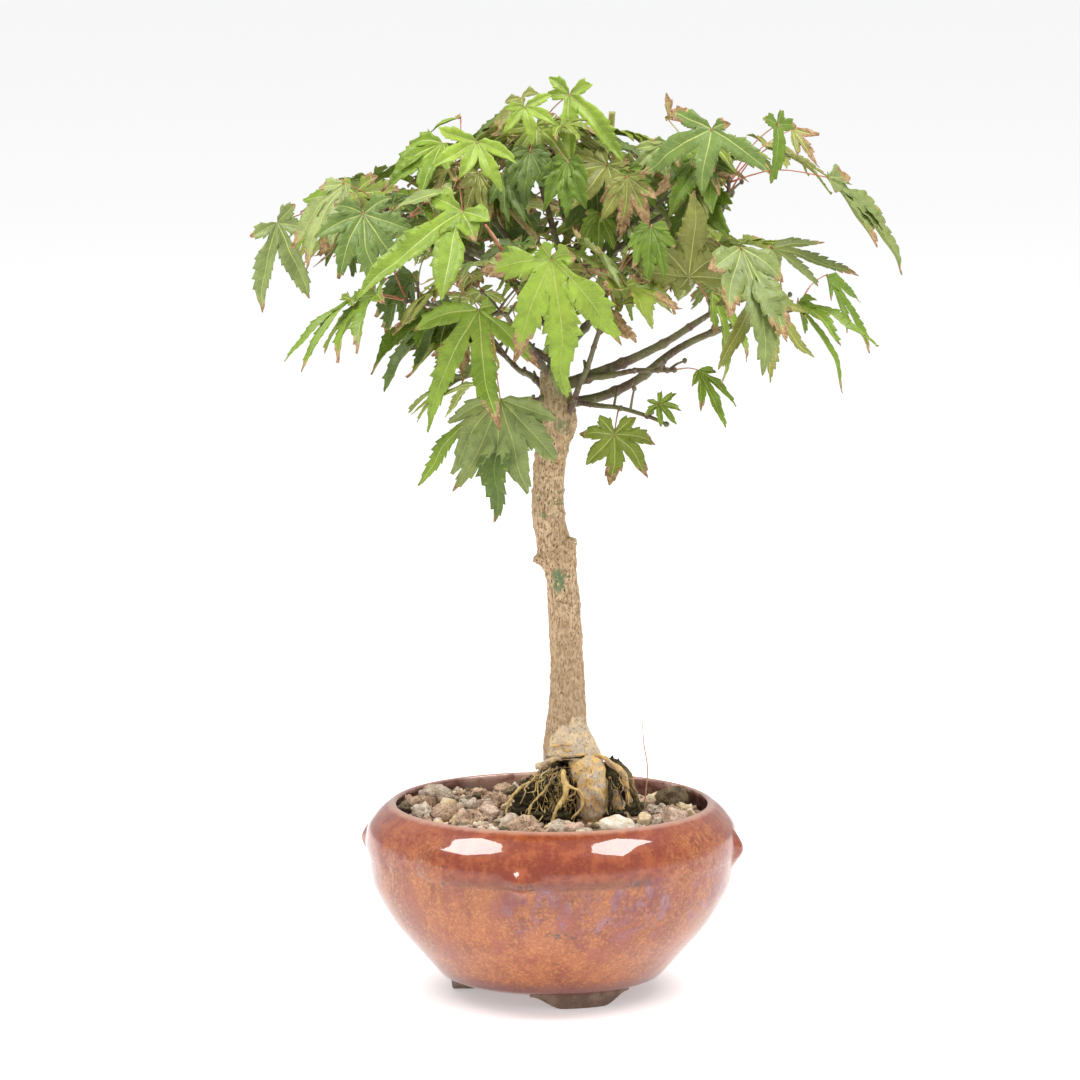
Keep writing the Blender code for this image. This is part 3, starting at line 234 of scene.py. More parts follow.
# ---- leaves with a set place: mass: (where the stalk joins the blade, tip of the middle lobe,
# azimuth and rise that the upper side faces, half width of a lobe as a share of the length,
# colour (after a slash, a darker second colour for the middle lobe's outer part, partly painted shade), dry
# share of the lobes, lobes)
SET_LEAVES = {
    "foliage_front": (
        ((-0.4, -62.0, 301.0), (8.0, -70.0, 248.5), 0.0, 14.0, PLAIN, "bright", 0.09,
         ((-150, 0.14), (-92, 0.5), (-36, 0.74), (0, 1.0), (38, 0.76), (104, 0.18))),
    ),
    "foliage_front_left": (
        ((-29.0, -54.0, 280.5), (-25.6, -60.0, 236.0), -12.0, 10.0, PLAIN, "fresh/mid", 0.06,
         ((-95, 0.57, 0.8), (-40, 0.95, 0.8), (0, 1.0, 0.75), (52, 0.72, 0.75), (112, 0.16))),
        ((-20.6, -46.0, 244.5), (-22.5, -50.0, 197.5), -8.0, 12.0, BROAD, "grey/dark", 0.02,
         ((-70, 0.43, 0.6), (-44, 0.66, 0.8), (-22, 0.8, 0.8), (0, 1.0, 0.85),
          (20, 0.76, 0.9), (46, 0.62, 0.9),
          (76, 0.5, 0.8))),
        ((-23.0, -40.0, 272.0), (-21.0, -44.0, 257.0), -60.0, 10.0, SLIM, "yellow", 0.0, LANCE),
    ),
    "foliage_left": (
        ((-80.0, -30.0, 283.0), (-107.0, -36.0, 258.5), -60.0, 50.0, SLIM, "mid", 0.12,
         ((-70, 0.16), (0, 1.0), (20, 0.92), (80, 0.3))),
        ((-75.0, -32.0, 317.0), (-73.0, -42.0, 288.0), -14.0, 20.0, BROAD, "sage", 0.03,
         ((-125, 0.4), (-72, 0.66), (-32, 0.88), (0, 1.0), (30, 0.9), (66, 0.74), (122, 0.45))),
        ((-48.0, -36.0, 277.5), (-73.0, -44.0, 256.0), -56.0, 40.0, BROAD, "deep", 0.14,
         ((-60, 0.3), (0, 1.0), (46, 0.5), (92, 0.3))),
        ((-56.0, -12.0, 292.0), (-67.0, -14.0, 267.0), -50.0, 20.0, PLAIN, "dark", 0.05, HAND),
    ),
    "foliage_left_far": (
        ((-110.5, 2.0, 311.5), (-94.0, -8.0, 284.5), -44.0, 30.0, PLAIN, "grey", 0.04,
         ((-96, 0.34), (-44, 1.0), (0, 1.0), (46, 0.45), (98, 0.4))),
        ((-83.0, -14.0, 328.0), (-98.5, -20.0, 295.5), -50.0, 34.0, PLAIN, "pale", 0.08,
         ((-62, 0.3), (-24, 0.8), (0, 1.0), (26, 0.78), (62, 0.34))),
    ),
    "foliage_left_low": (
        ((-37.5, -26.0, 266.0), (-41.0, -30.0, 249.5), -20.0, 20.0, BROAD, "olive", 0.6, HAND),
    ),
    "foliage_top_left": (
        ((-35.6, -52.0, 319.0), (-74.0, -66.0, 287.0), -16.0, 40.0, PLAIN, "fresh", 0.03,
         ((-72, 0.3), (0, 1.0), (38, 0.8), (70, 0.3), (108, 0.28))),
        ((-29.8, -36.0, 345.5), (-36.0, -44.0, 329.0), -6.0, 30.0, BROAD, "bright", 0.0,
         ((-88, 0.95), (-38, 1.1), (0, 0.9), (42, 1.12), (86, 0.95))),
        ((-43.5, -16.0, 344.0), (-64.0, -22.0, 323.0), -30.0, 40.0, BROAD, "mid", 0.05,
         ((-66, 0.5), (-28, 0.84), (0, 1.0), (30, 0.8), (70, 0.5))),
        ((-36.6, -3.0, 353.5), (-49.0, -5.0, 348.0), -60.0, 60.0, PLAIN, "fresh", 0.2, LANCE),
    ),
    "foliage_top": (
        ((-12.4, 4.0, 361.0), (-21.0, 0.0, 346.0), -60.0, 50.0, BROAD, "olive", 0.1,
         ((-70, 0.5), (-30, 0.9), (0, 1.0), (70, 0.4), (120, 0.7))),
        ((7.0, -10.0, 363.0), (5.6, -18.0, 337.5), 6.0, 30.0, PLAIN, "bright", 0.04,
         ((-132, 0.4), (-88, 0.32), (0, 1.0), (52, 1.3), (122, 0.38))),
    ),
    "foliage_crown": (
        ((18.6, -8.0, 330.0), (7.6, -12.0, 308.5), -10.0, 30.0, PLAIN, "dark", 0.0, HAND),
    ),
    "foliage_top_right": (
        ((63.5, -24.0, 350.0), (60.0, -33.0, 325.0), 10.0, 38.0, BROAD, "sage", 0.12,
         ((-102, 0.75), (-52, 1.15), (0, 1.0), (62, 1.05), (122, 0.3))),
        ((30.0, -27.0, 331.5), (28.9, -33.0, 308.0), 10.0, 30.0, PLAIN, "olive", 0.2, HAND),
        ((46.8, 4.0, 352.5), (44.8, 5.0, 363.5), 30.0, 50.0, BROAD, "tan", 0.35, LANCE),
        ((46.0, -12.0, 344.0), (36.0, -20.0, 326.0), -10.0, 50.0, PLAIN, "grey", 0.06, HAND),
    ),
    "foliage_right_far": (
        ((110.2, -6.0, 330.0), (139.2, -10.0, 290.5), 72.0, 40.0, BROAD, "grey", 0.1,
         ((-66, 0.24), (-24, 0.66), (0, 1.0), (24, 0.78), (66, 0.26))),
        ((90.0, -8.0, 351.0), (89.8, -13.0, 329.0), 50.0, 30.0, BROAD, "deep", 0.04,
         ((-104, 0.5), (0, 1.0), (96, 0.4), (165, 0.3))),
        ((97.0, 18.0, 348.0), (107.0, 16.0, 333.5), 30.0, 50.0, BROAD, "olive", 0.25,
         ((-44, 0.66), (0, 1.0), (44, 0.6))),
    ),
    "foliage_right_upper": (
        ((75.0, -40.0, 304.0), (95.5, -50.0, 264.0), 30.0, 24.0, BROAD, "grey", 0.14,
         ((-80, 0.4), (-46, 0.62), (-14, 0.95), (0, 0.9), (36, 0.4))),
        ((54.4, -34.0, 292.0), (57.2, -38.0, 328.0), 0.0, 10.0, BROAD, "olive", 0.06,
         ((-84, 0.46), (-42, 0.55), (0, 1.0), (42, 0.5), (88, 0.5), (150, 0.16))),
        ((64.0, -19.0, 285.0), (71.5, -25.0, 247.5), 60.0, 10.0, SLIM, "fresh", 0.05,
         ((-40, 0.5), (0, 1.0), (30, 0.85))),
    ),
    "foliage_right_lower": (
        ((99.0, -12.0, 280.5), (130.0, -18.0, 264.0), 40.0, 50.0, SLIM, "mid", 0.03,
         ((-60, 0.3), (-28, 0.7), (0, 1.0), (60, 0.25))),
        ((99.0, 2.0, 278.5), (116.0, -2.0, 243.5), 66.0, 24.0, SLIM, "mid", 0.04,
         ((-50, 0.4), (0, 1.0), (50, 0.3))),
        ((88.0, -2.0, 301.5), (122.0, -6.0, 288.0), 20.0, 60.0, SLIM, "grey", 0.05,
         ((-60, 0.4), (-30, 0.75), (0, 1.0), (36, 0.6))),
        ((111.5, 26.0, 289.0), (125.2, 26.0, 257.0), 70.0, 20.0, SLIM, "deep", 0.05,
         ((-60, 0.35), (-28, 0.7), (0, 1.0), (34, 0.7))),
    ),
    "foliage_riser": (
        ((39.0, -46.0, 313.0), (37.2, -51.0, 291.5), 10.0, 20.0, PLAIN, "deep", 0.03, HAND),
        ((26.0, -36.0, 281.0), (43.6, -38.0, 283.5), 10.0, 50.0, BROAD, "olive", 0.16, LANCE),
    ),
    "foliage_right_low": (
        ((25.0, -22.0, 228.5), (26.0, -30.0, 209.0), 8.0, 16.0, PLAIN, "moss", 0.1, PALM),
        ((43.0, -14.0, 240.0), (50.0, -16.0, 232.0), 10.0, 30.0, PLAIN, "fresh", 0.04, STAR),
    ),
    "foliage_right_front": (
        ((58.5, -26.0, 254.5), (67.0, -30.0, 231.0), 30.0, 20.0, SLIM, "mid", 0.06,
         ((-54, 0.34), (-20, 0.62), (0, 1.0), (34, 0.76), (72, 0.3))),
    ),
}

# ---- the rule for the other leaves: ranges are from and to, SKY is the gaps that no leaf may cover
# as seen from the front (x from, to, height from, to)
BLADE_THICK = 1.0
SPINE_THICK = 0.6
BLADE_ARCH = 0.07
BLADE_FOLD = 0.22
STALK_RADII = (0.62, 0.42)
CLEAR = 0.5
RULE_STALK = (9.0, 24.0)
RULE_RISE = (0.0, 55.0)
RULE_BLADE = (28.0, 44.0)
RULE_FALL = (12.0, 70.0)
CROWN_CENTRE = (10.0, 6.0, 293.0)
CROWN_HALF = (125.0, 110.0, 75.0)
SKY = (
    (12.0, 68.0, 228.0, 277.0),
    (-16.0, 12.0, 196.0, 262.0),
    (74.0, 108.0, 304.0, 334.0),
    (-104.0, -84.0, 333.0, 350.0),
)
STEM_SIDES = 4
SIDE_TWIGS = (0.35, 0.75)
SIDE_TWIG_LENGTH = (12.0, 20.0)
SIDE_TWIG_RADII = (0.85, 0.75, 0.6)
SIDE_TWIG_ROOM = (1.3, 1.2, 1.1)
# where leaves with a set place may leave their mass's stem, as shares of it
NODES = (0.3, 0.65, 0.98)
LIMB_SEED = 300
MASS_SEED = 700
TRIES = 40
# finer growth that only shows here: twigs and smaller leaves inside the heart of the crown
FINE_SEED = 900
FINE_LEAVES = 12
FINE_BLADE = (17.0, 33.0)
FINE_STALK = (5.0, 16.0)
FINE_RISE = (-10.0, 60.0)
FINE_FALL = (10.0, 80.0)
FINE_CLEAR = 0.15
FINE_TRIES = 30
FINE_TWIGS = 3
FINE_TWIG_LENGTH = (7.0, 15.0)
FINE_TWIG_RADII = (0.6, 0.5, 0.42)
FINE_TWIG_ROOM = (0.8, 0.8, 0.8)
HEART_CENTRE = (14.0, 8.0, 316.0)
HEART_HALF = (92.0, 84.0, 44.0)
RULE_COLOURS = ("mid", "moss", "deep", "olive", "dark", "moss", "olive", "grey")
RULE_DRY = (0.0, 0.0, 0.08, 0.18)


def world(point):
    return AXIS + point * MM


def polar(azimuth, rise=0.0):
    """Unit vector at an azimuth from the front and a rise above the horizontal."""
    turn, lift = math.radians(azimuth), math.radians(rise)
    return Vector((math.sin(turn) * math.cos(lift), -math.cos(turn) * math.cos(lift), math.sin(lift)))


def stretched(height):
    return SOIL_TOP + (height - SOIL_TOP) * TREE_STRETCH


def along(path, share):
    """The point at a share of the way along a path of even steps."""
    place = share * (len(path) - 1)
    step = min(int(place), len(path) - 2)
    return path[step].lerp(path[step + 1], place - step)


def smoothstep(low, high, value):
    share = min(max((value - low) / (high - low), 0.0), 1.0)
    return share * share * (3.0 - 2.0 * share)


# ---- the growth rule, as in the part's source ------------------------------------------------


def ring_quads(rows, sides):
    """Faces between neighbouring rings of points."""
    faces = []
    for i in range(rows - 1):
        for k in range(sides):
            a, b = i * sides + k, i * sides + (k + 1) % sides
            faces.append((a, b, b + sides, a + sides))
    return faces


def ring_shell(path, radii, sides):
    """Points and faces of a closed tapering tube along a path."""
    points = []
    side = (path[1] - path[0]).orthogonal().normalized()
    for i, (place, radius) in enumerate(zip(path, radii)):
        heading = (path[min(i + 1, len(path) - 1)] - path[max(i - 1, 0)]).normalized()
        side = (side - heading * side.dot(heading)).normalized()
        other = heading.cross(side)
        for k in range(sides):
            turn = math.tau * k / sides
            points.append(place + (side * math.cos(turn) + other * math.sin(turn)) * radius)
    faces = ring_quads(len(path), sides)
    faces.append(tuple(range(sides))[::-1])
    faces.append(tuple(range((len(path) - 1) * sides, len(path) * sides)))
    return points, faces


def arch(reach, length):
    """How far the blade bows up at a distance from the stalk."""
    share = min(reach / length, 1.0)
    return BLADE_ARCH * length * 4.0 * share * (1.0 - share)


def blade_shell(leaf, extra=0.0):
    """Points and faces of the plain lobed blade whose room a leaf takes up."""
    size = leaf["length"] * (1.0 + 0.06 * extra)
    wide = leaf["width"]
    notch = 0.2 + 0.9 * wide
    order = [(-a, s) for a, s in reversed(LOBES[1:])] + list(LOBES)
    outline, inner, fans = [(-0.03 * size, 0.0, 0.0)], [(0.1 * size, 0.0, BLADE_THICK / 2 + extra)], []
    previous = 0
    for i, (angle, share) in enumerate(order):
        turn = math.radians(angle)
        ahead = Vector((math.cos(turn), math.sin(turn)))
        across = Vector((-ahead.y, ahead.x))
        tip = ahead * share * size
        if share > 0.7:
            middle = ahead * share * size * 0.52
            half = across * wide * size * share
            lift = half.length * BLADE_FOLD
            for spot, up in ((middle - half, lift), (tip, 0.0), (middle + half, lift)):
                outline.append((spot.x, spot.y, up))
            inner.append((middle.x, middle.y, SPINE_THICK / 2 + extra))
            a = len(outline) - 3
            ring = [previous, a, a + 1, a + 2]
        else:
            outline.append((tip.x, tip.y, 0.0))
            ring = [previous, len(outline) - 1]
        if i < len(order) - 1:
            reach = notch * size * min(1.0, 1.15 * min(share, order[i + 1][1]))
            gap = math.radians((angle + order[i + 1][0]) / 2)
            outline.append((reach * math.cos(gap), reach * math.sin(gap), 0.0))
            previous = len(outline) - 1
            ring.append(previous)
        else:
            ring.append(0)
        fans.append((ring, len(inner) - 1 if share > 0.7 else 0))
    rims = len(outline)
    rows = [(x, y, z) for x, y, z in outline]
    rows += [(x, y, z) for x, y, z in inner] + [(x, y, -z) for x, y, z in inner]
    ahead, up = leaf["along"], leaf["face"]
    left = up.cross(ahead)
    points = []
    for x, y, z in rows:
        z += arch(math.hypot(x, y), size)
        points.append(leaf["at"] + ahead * x + left * y + up * z)
    faces = []
    for ring, hub in fans:
        for top in (True, False):
            centre = rims + hub + (0 if top else len(inner))
            core = rims + (0 if top else len(inner))
            made = [(a, b, centre) for a, b in zip(ring, ring[1:])]
            if hub:
                made += [(core, ring[0], centre), (ring[-1], core, centre)]
            faces += made if top else [face[::-1] for face in made]
    return points, faces


def new_leaf(start, joint, tip, azimuth, rise, width):
    """A leaf from the point where its stalk starts, the blade's two ends and the way it faces."""
    ahead = (tip - joint).normalized()
    up = polar(azimuth, rise)
    up = (up - ahead * up.dot(ahead)).normalized()
    leaf = {"at": joint, "along": ahead, "face": up, "length": (tip - joint).length, "width": width}
    sunk = 0.12 * leaf["length"]
    end = joint + ahead * sunk + up * arch(sunk, leaf["length"])
    reach = (joint - start).length
    stalk = [start]
    if reach > 10.0:
        stalk.append(start.lerp(joint, 0.5) + Vector((0, 0, 0.1 * reach)))
    leaf["stalk"] = stalk + [joint, end]
    leaf["radii"] = [STALK_RADII[0]] + [STALK_RADII[1]] * (len(stalk) + 1)
    return leaf


def tree_of(shell):
    return BVHTree.FromPolygons([tuple(p) for p in shell[0]], shell[1])


def leaf_spots(leaf):
    """The tips of the blade's lobes and its joint."""
    ahead, left = leaf["along"], leaf["face"].cross(leaf["along"])
    spots = [leaf["at"]]
    for angle, share in LOBES:
        for side in (-1, 1):
            turn = math.radians(angle * side)
            spot = ahead * math.cos(turn) + left * math.sin(turn)
            spots.append(leaf["at"] + spot * leaf["length"] * share)
    return spots


def in_space(leaf, centre, reach, middle=CROWN_CENTRE, half=CROWN_HALF):
    """Whether a leaf dealt by rule stays in its mass's space, in the crown and out of the sky."""
    for spot in leaf_spots(leaf):
        out = [(spot[i] - middle[i]) / half[i] for i in range(3)]
        if (spot - centre).length > reach or sum(value * value for value in out) > 1.0:
            return False
        if any(x0 < spot.x < x1 and z0 < spot.z < z1 for x0, x1, z0, z1 in SKY):
            return False
    return True


def at_height(path, height):
    """The point of the trunk's middle line at a height."""
    for low, high in zip(path, path[1:]):
        if high.z >= height:
            return low.lerp(high, (height - low.z) / (high.z - low.z))


def grow_limbs():
    """The middle line and radii of the trunk and every bough."""
    middle = [Vector((x, y, stretched(z))) for z, x, y, width in TRUNK]
    limbs = {"trunk": (middle, [width / 2 for z, x, y, width in TRUNK])}
    for number, (name, row) in enumerate(LIMBS.items()):
        parent, where, azimuth, rise, length, lift, wave, thick, thin = row
        rng = random.Random(LIMB_SEED + number)
        line = limbs[parent][0]
        start = at_height(line, stretched(where)) if parent == "trunk" else along(line, where)
        path, radii = [], []
        for i in range(LIMB_STEPS + 1):
            share = i / LIMB_STEPS
            place = start + polar(azimuth, rise) * length * share
            place.z += lift * math.sin(math.pi * share) + wave * math.sin(math.tau * share)
            if 0 < i < LIMB_STEPS:
                place += Vector([rng.uniform(-LIMB_KINK, LIMB_KINK) for _ in range(3)])
            path.append(place)
            radii.append(thick + (thin - thick) * share)
        limbs[name] = (path, radii)
    return limbs


def grow_stem(limbs, row):
    """A mass's stem, from just clear of its limb's tip, and that limb's own thickness there."""
    limb, azimuth, rise, length = row[:4]
    path, radii = limbs[limb]
    heading = (path[-1] - path[-2]).normalized()
    start = path[-1] + heading * GAP
    end = start + polar(azimuth, rise) * length
    middle = start + heading * length * 0.45
    stem = [start, start.lerp(middle, 0.6), middle.lerp(end, 0.45), end]
    thick = radii[-1]
    return stem, [thick + (0.75 - thick) * i / 3 for i in range(4)]


def lifted(place):
    """A set leaf's place with the tree's stretch and the lift of its front."""
    x, y, z = place
    return Vector((x, y, stretched(z) - FRONT_LIFT * y))


class Crown:
    """Stems, twigs and leaves of every mass; twigs and all but the extra leaves go only where they touch no
    limb and no other mass.
    """

    def __init__(self, limbs):
        self.masses = {}
        self.taken = [tree_of(ring_shell(path, radii, 6)) for path, radii in limbs.values()]
        for name, row in MASSES.items():
            stem, radii = grow_stem(limbs, row)
            self.masses[name] = {"stem": (stem, radii), "twigs": [], "leaves": [], "trees": []}
            self.masses[name]["trees"].append(tree_of(ring_shell(stem, radii, STEM_SIDES)))
        self.place_leaves(SET_LEAVES, lifted, CLEAR)
        for number, name in enumerate(MASSES):
            self.rule_leaves(number, name)
        self.place_leaves(EXTRA_LEAVES, Vector, 0.0)
        for number, name in enumerate(MASSES):
            self.fine_leaves(number, name)

    def free(self, name, shell, own_leaves=False):
        """Whether a shell touches no limb, no other mass and, if asked, no leaf of its own mass."""
        probe = tree_of(shell)
        others = [tree for other in self.masses if other != name for tree in self.masses[other]["trees"]]
        if own_leaves:
            others += [leaf["tree"] for leaf in self.masses[name]["leaves"]]
        return not any(probe.overlap(tree) for tree in self.taken + others)

    def add_twig(self, name, start, end, lift, room, radii):
        """Adds a side twig where it has room, and tells its path if so."""
        twig = [start, start.lerp(end, 0.5) + Vector((0, 0, lift)), end]
        if not self.free(name, ring_shell(twig, room, 3)):
            return None
        self.masses[name]["twigs"].append((twig, radii))
        return twig

    def add(self, name, leaf, clear=CLEAR):
        """Adds a leaf where it has room; a leaf with no clearance asked for may touch others."""
        mass = self.masses[name]
        if clear > 0.0:
            thick = [radius + clear for radius in leaf["radii"]]
            if not self.free(name, ring_shell(leaf["stalk"], thick, 3)):
                return False
            if not self.free(name, blade_shell(leaf, clear), own_leaves=True):
                return False
        leaf["tree"] = tree_of(blade_shell(leaf))
        mass["leaves"].append(leaf)
        mass["trees"] += [leaf["tree"], tree_of(ring_shell(leaf["stalk"], leaf["radii"], 3))]
        return True

    def place_leaves(self, table, where, clear):
        for name, rows in table.items():
            stem = self.masses[name]["stem"][0]
            for joint, tip, azimuth, rise, width, colour, dry, lobes in rows:
                joint, tip = where(joint), where(tip)
                nodes = sorted((along(stem, share) for share in NODES), key=lambda p: (p - joint).length)
                leaf = new_leaf(nodes[0], joint, tip, azimuth, rise, width)
                if self.add(name, leaf, clear):
                    leaf.update(colour=colour, dry=dry, lobes=lobes)

    def rule_leaves(self, number, name):
        """The side twigs and leaves that the solids have too."""
        heading = MASSES[name][1]
        count, fan, reach = MASSES[name][4:]
        rng = random.Random(MASS_SEED + number)
        looks = random.Random(FINE_SEED - 1 - number)
        mass = self.masses[name]
        stem = mass["stem"][0]
        nodes = [stem[-1].lerp(stem[-2], 0.1)]
        for k, share in enumerate(SIDE_TWIGS if count > 2 else ()):
            start = along(stem, share)
            side = heading + (-1) ** (k + number) * rng.uniform(45.0, 75.0)
            end = start + polar(side, rng.uniform(5.0, 35.0)) * rng.uniform(*SIDE_TWIG_LENGTH)
            twig = self.add_twig(name, start, end, 0.8, SIDE_TWIG_ROOM, SIDE_TWIG_RADII)
            if twig:
                mass["trees"].append(tree_of(ring_shell(twig, SIDE_TWIG_RADII, 3)))
                nodes.append(twig[1].lerp(end, 0.85))
        made = 0
        for attempt in range(count * TRIES):
            if made == count:
                break
            start = nodes[attempt % len(nodes)]
            azimuth = heading + rng.uniform(-fan, fan)
            joint = start + polar(azimuth, rng.uniform(*RULE_RISE)) * rng.uniform(*RULE_STALK)
            fall, size = -rng.uniform(*RULE_FALL), rng.uniform(*RULE_BLADE)
            tip = joint + polar(azimuth + rng.uniform(-35.0, 35.0), fall) * size
            width = rng.choice((SLIM, PLAIN, PLAIN, BROAD))
            leaf = new_leaf(start, joint, tip, azimuth + rng.uniform(-25.0, 25.0), 55.0, width)
            if in_space(leaf, stem[-1], reach) and self.add(name, leaf):
                leaf.update(colour=looks.choice(RULE_COLOURS), dry=looks.choice(RULE_DRY),
                            lobes=looks.choice((FULL, FULL, HAND)))
                made += 1
        mass["nodes"] = nodes

    def fine_leaves(self, number, name):
        """Short twigs and smaller leaves that fill the heart of the crown."""
        heading, reach = MASSES[name][1], MASSES[name][6]
        rng = random.Random(FINE_SEED + number)
        mass = self.masses[name]
        stem = mass["stem"][0]
        nodes = [along(stem, 0.5), along(stem, 0.85)] + mass["nodes"]
        for k in range(FINE_TWIGS):
            start = along(stem, 0.2 + 0.25 * k)
            side = heading + (-1) ** k * rng.uniform(40.0, 110.0)
            end = start + polar(side, rng.uniform(0.0, 50.0)) * rng.uniform(*FINE_TWIG_LENGTH)
            if self.add_twig(name, start, end, 0.5, FINE_TWIG_ROOM, FINE_TWIG_RADII):
                nodes.append(end)
        made = 0
        for attempt in range(FINE_LEAVES * FINE_TRIES):
            if made == FINE_LEAVES:
                break
            start = nodes[attempt % len(nodes)]
            azimuth = heading + rng.uniform(-150.0, 150.0)
            joint = start + polar(azimuth, rng.uniform(*FINE_RISE)) * rng.uniform(*FINE_STALK)
            size = rng.uniform(*FINE_BLADE)
            tip = joint + polar(azimuth + rng.uniform(-40.0, 40.0), -rng.uniform(*FINE_FALL)) * size
            width = rng.choice((SLIM, PLAIN, BROAD))
            leaf = new_leaf(start, joint, tip, azimuth + rng.uniform(-30.0, 30.0), 50.0, width)
            inside = in_space(leaf, stem[-1], reach, HEART_CENTRE, HEART_HALF)
            if inside and self.add(name, leaf, FINE_CLEAR):
                leaf.update(colour=rng.choice(RULE_COLOURS), dry=rng.choice(RULE_DRY),
                            lobes=rng.choice((FULL, HAND)))
                made += 1


# leaves of the photo that the solids leave out, in the form of SET_LEAVES
EXTRA_LEAVES = {
    "foliage_top": (
        ((-10.8, -24.0, 364.0), (-6.4, -29.0, 350.0), -10.0, 40.0, BROAD, "bright", 0.0,
         ((-104, 0.55), (-52, 0.8), (0, 1.0), (48, 0.9), (98, 0.75))),
        ((-8.6, -28.0, 347.0), (-10.4, -36.0, 325.0), -10.0, 34.0, BROAD, "dark", 0.0, HAND),
        ((6.0, -30.0, 343.0), (4.0, -38.0, 322.0), 6.0, 34.0, BROAD, "deep", 0.0, HAND),
    ),
    "foliage_top_left": (
        ((-39.6, -44.0, 332.3), (-64.0, -50.0, 326.0), -20.0, 60.0, BROAD, "grey", 0.05, LANCE),
        ((-20.0, -30.0, 338.0), (-10.0, -36.0, 320.0), 10.0, 34.0, PLAIN, "dark", 0.0, HAND),
    ),
    "foliage_crown": (
        ((-4.8, 2.0, 313.2), (-32.8, -2.0, 305.0), -20.0, 50.0, BROAD, "dark", 0.1, HAND),
        ((19.0, -22.0, 321.0), (17.0, -28.0, 303.0), 10.0, 30.0, PLAIN, "mid", 0.05, HAND),
        ((30.0, -20.0, 338.0), (36.0, -26.0, 318.0), 20.0, 30.0, PLAIN, "deep", 0.05, HAND),
    ),
    "foliage_front": (
        ((12.4, -42.0, 288.6), (32.0, -46.0, 271.0), 20.0, 30.0, BROAD, "olive", 0.3, LANCE),
        ((0.4, -14.0, 266.9), (5.6, -15.0, 247.9), -10.0, 10.0, BROAD, "grey", 0.1, LANCE),
    ),
    "foliage_front_left": (
        ((-30.0, -40.0, 243.0), (-52.5, -44.0, 216.0), -30.0, 20.0, SLIM, "fresh", 0.12,
         ((-40, 0.3), (0, 1.0), (40, 0.2))),
    ),
}


# ---- materials -------------------------------------------------------------------------------


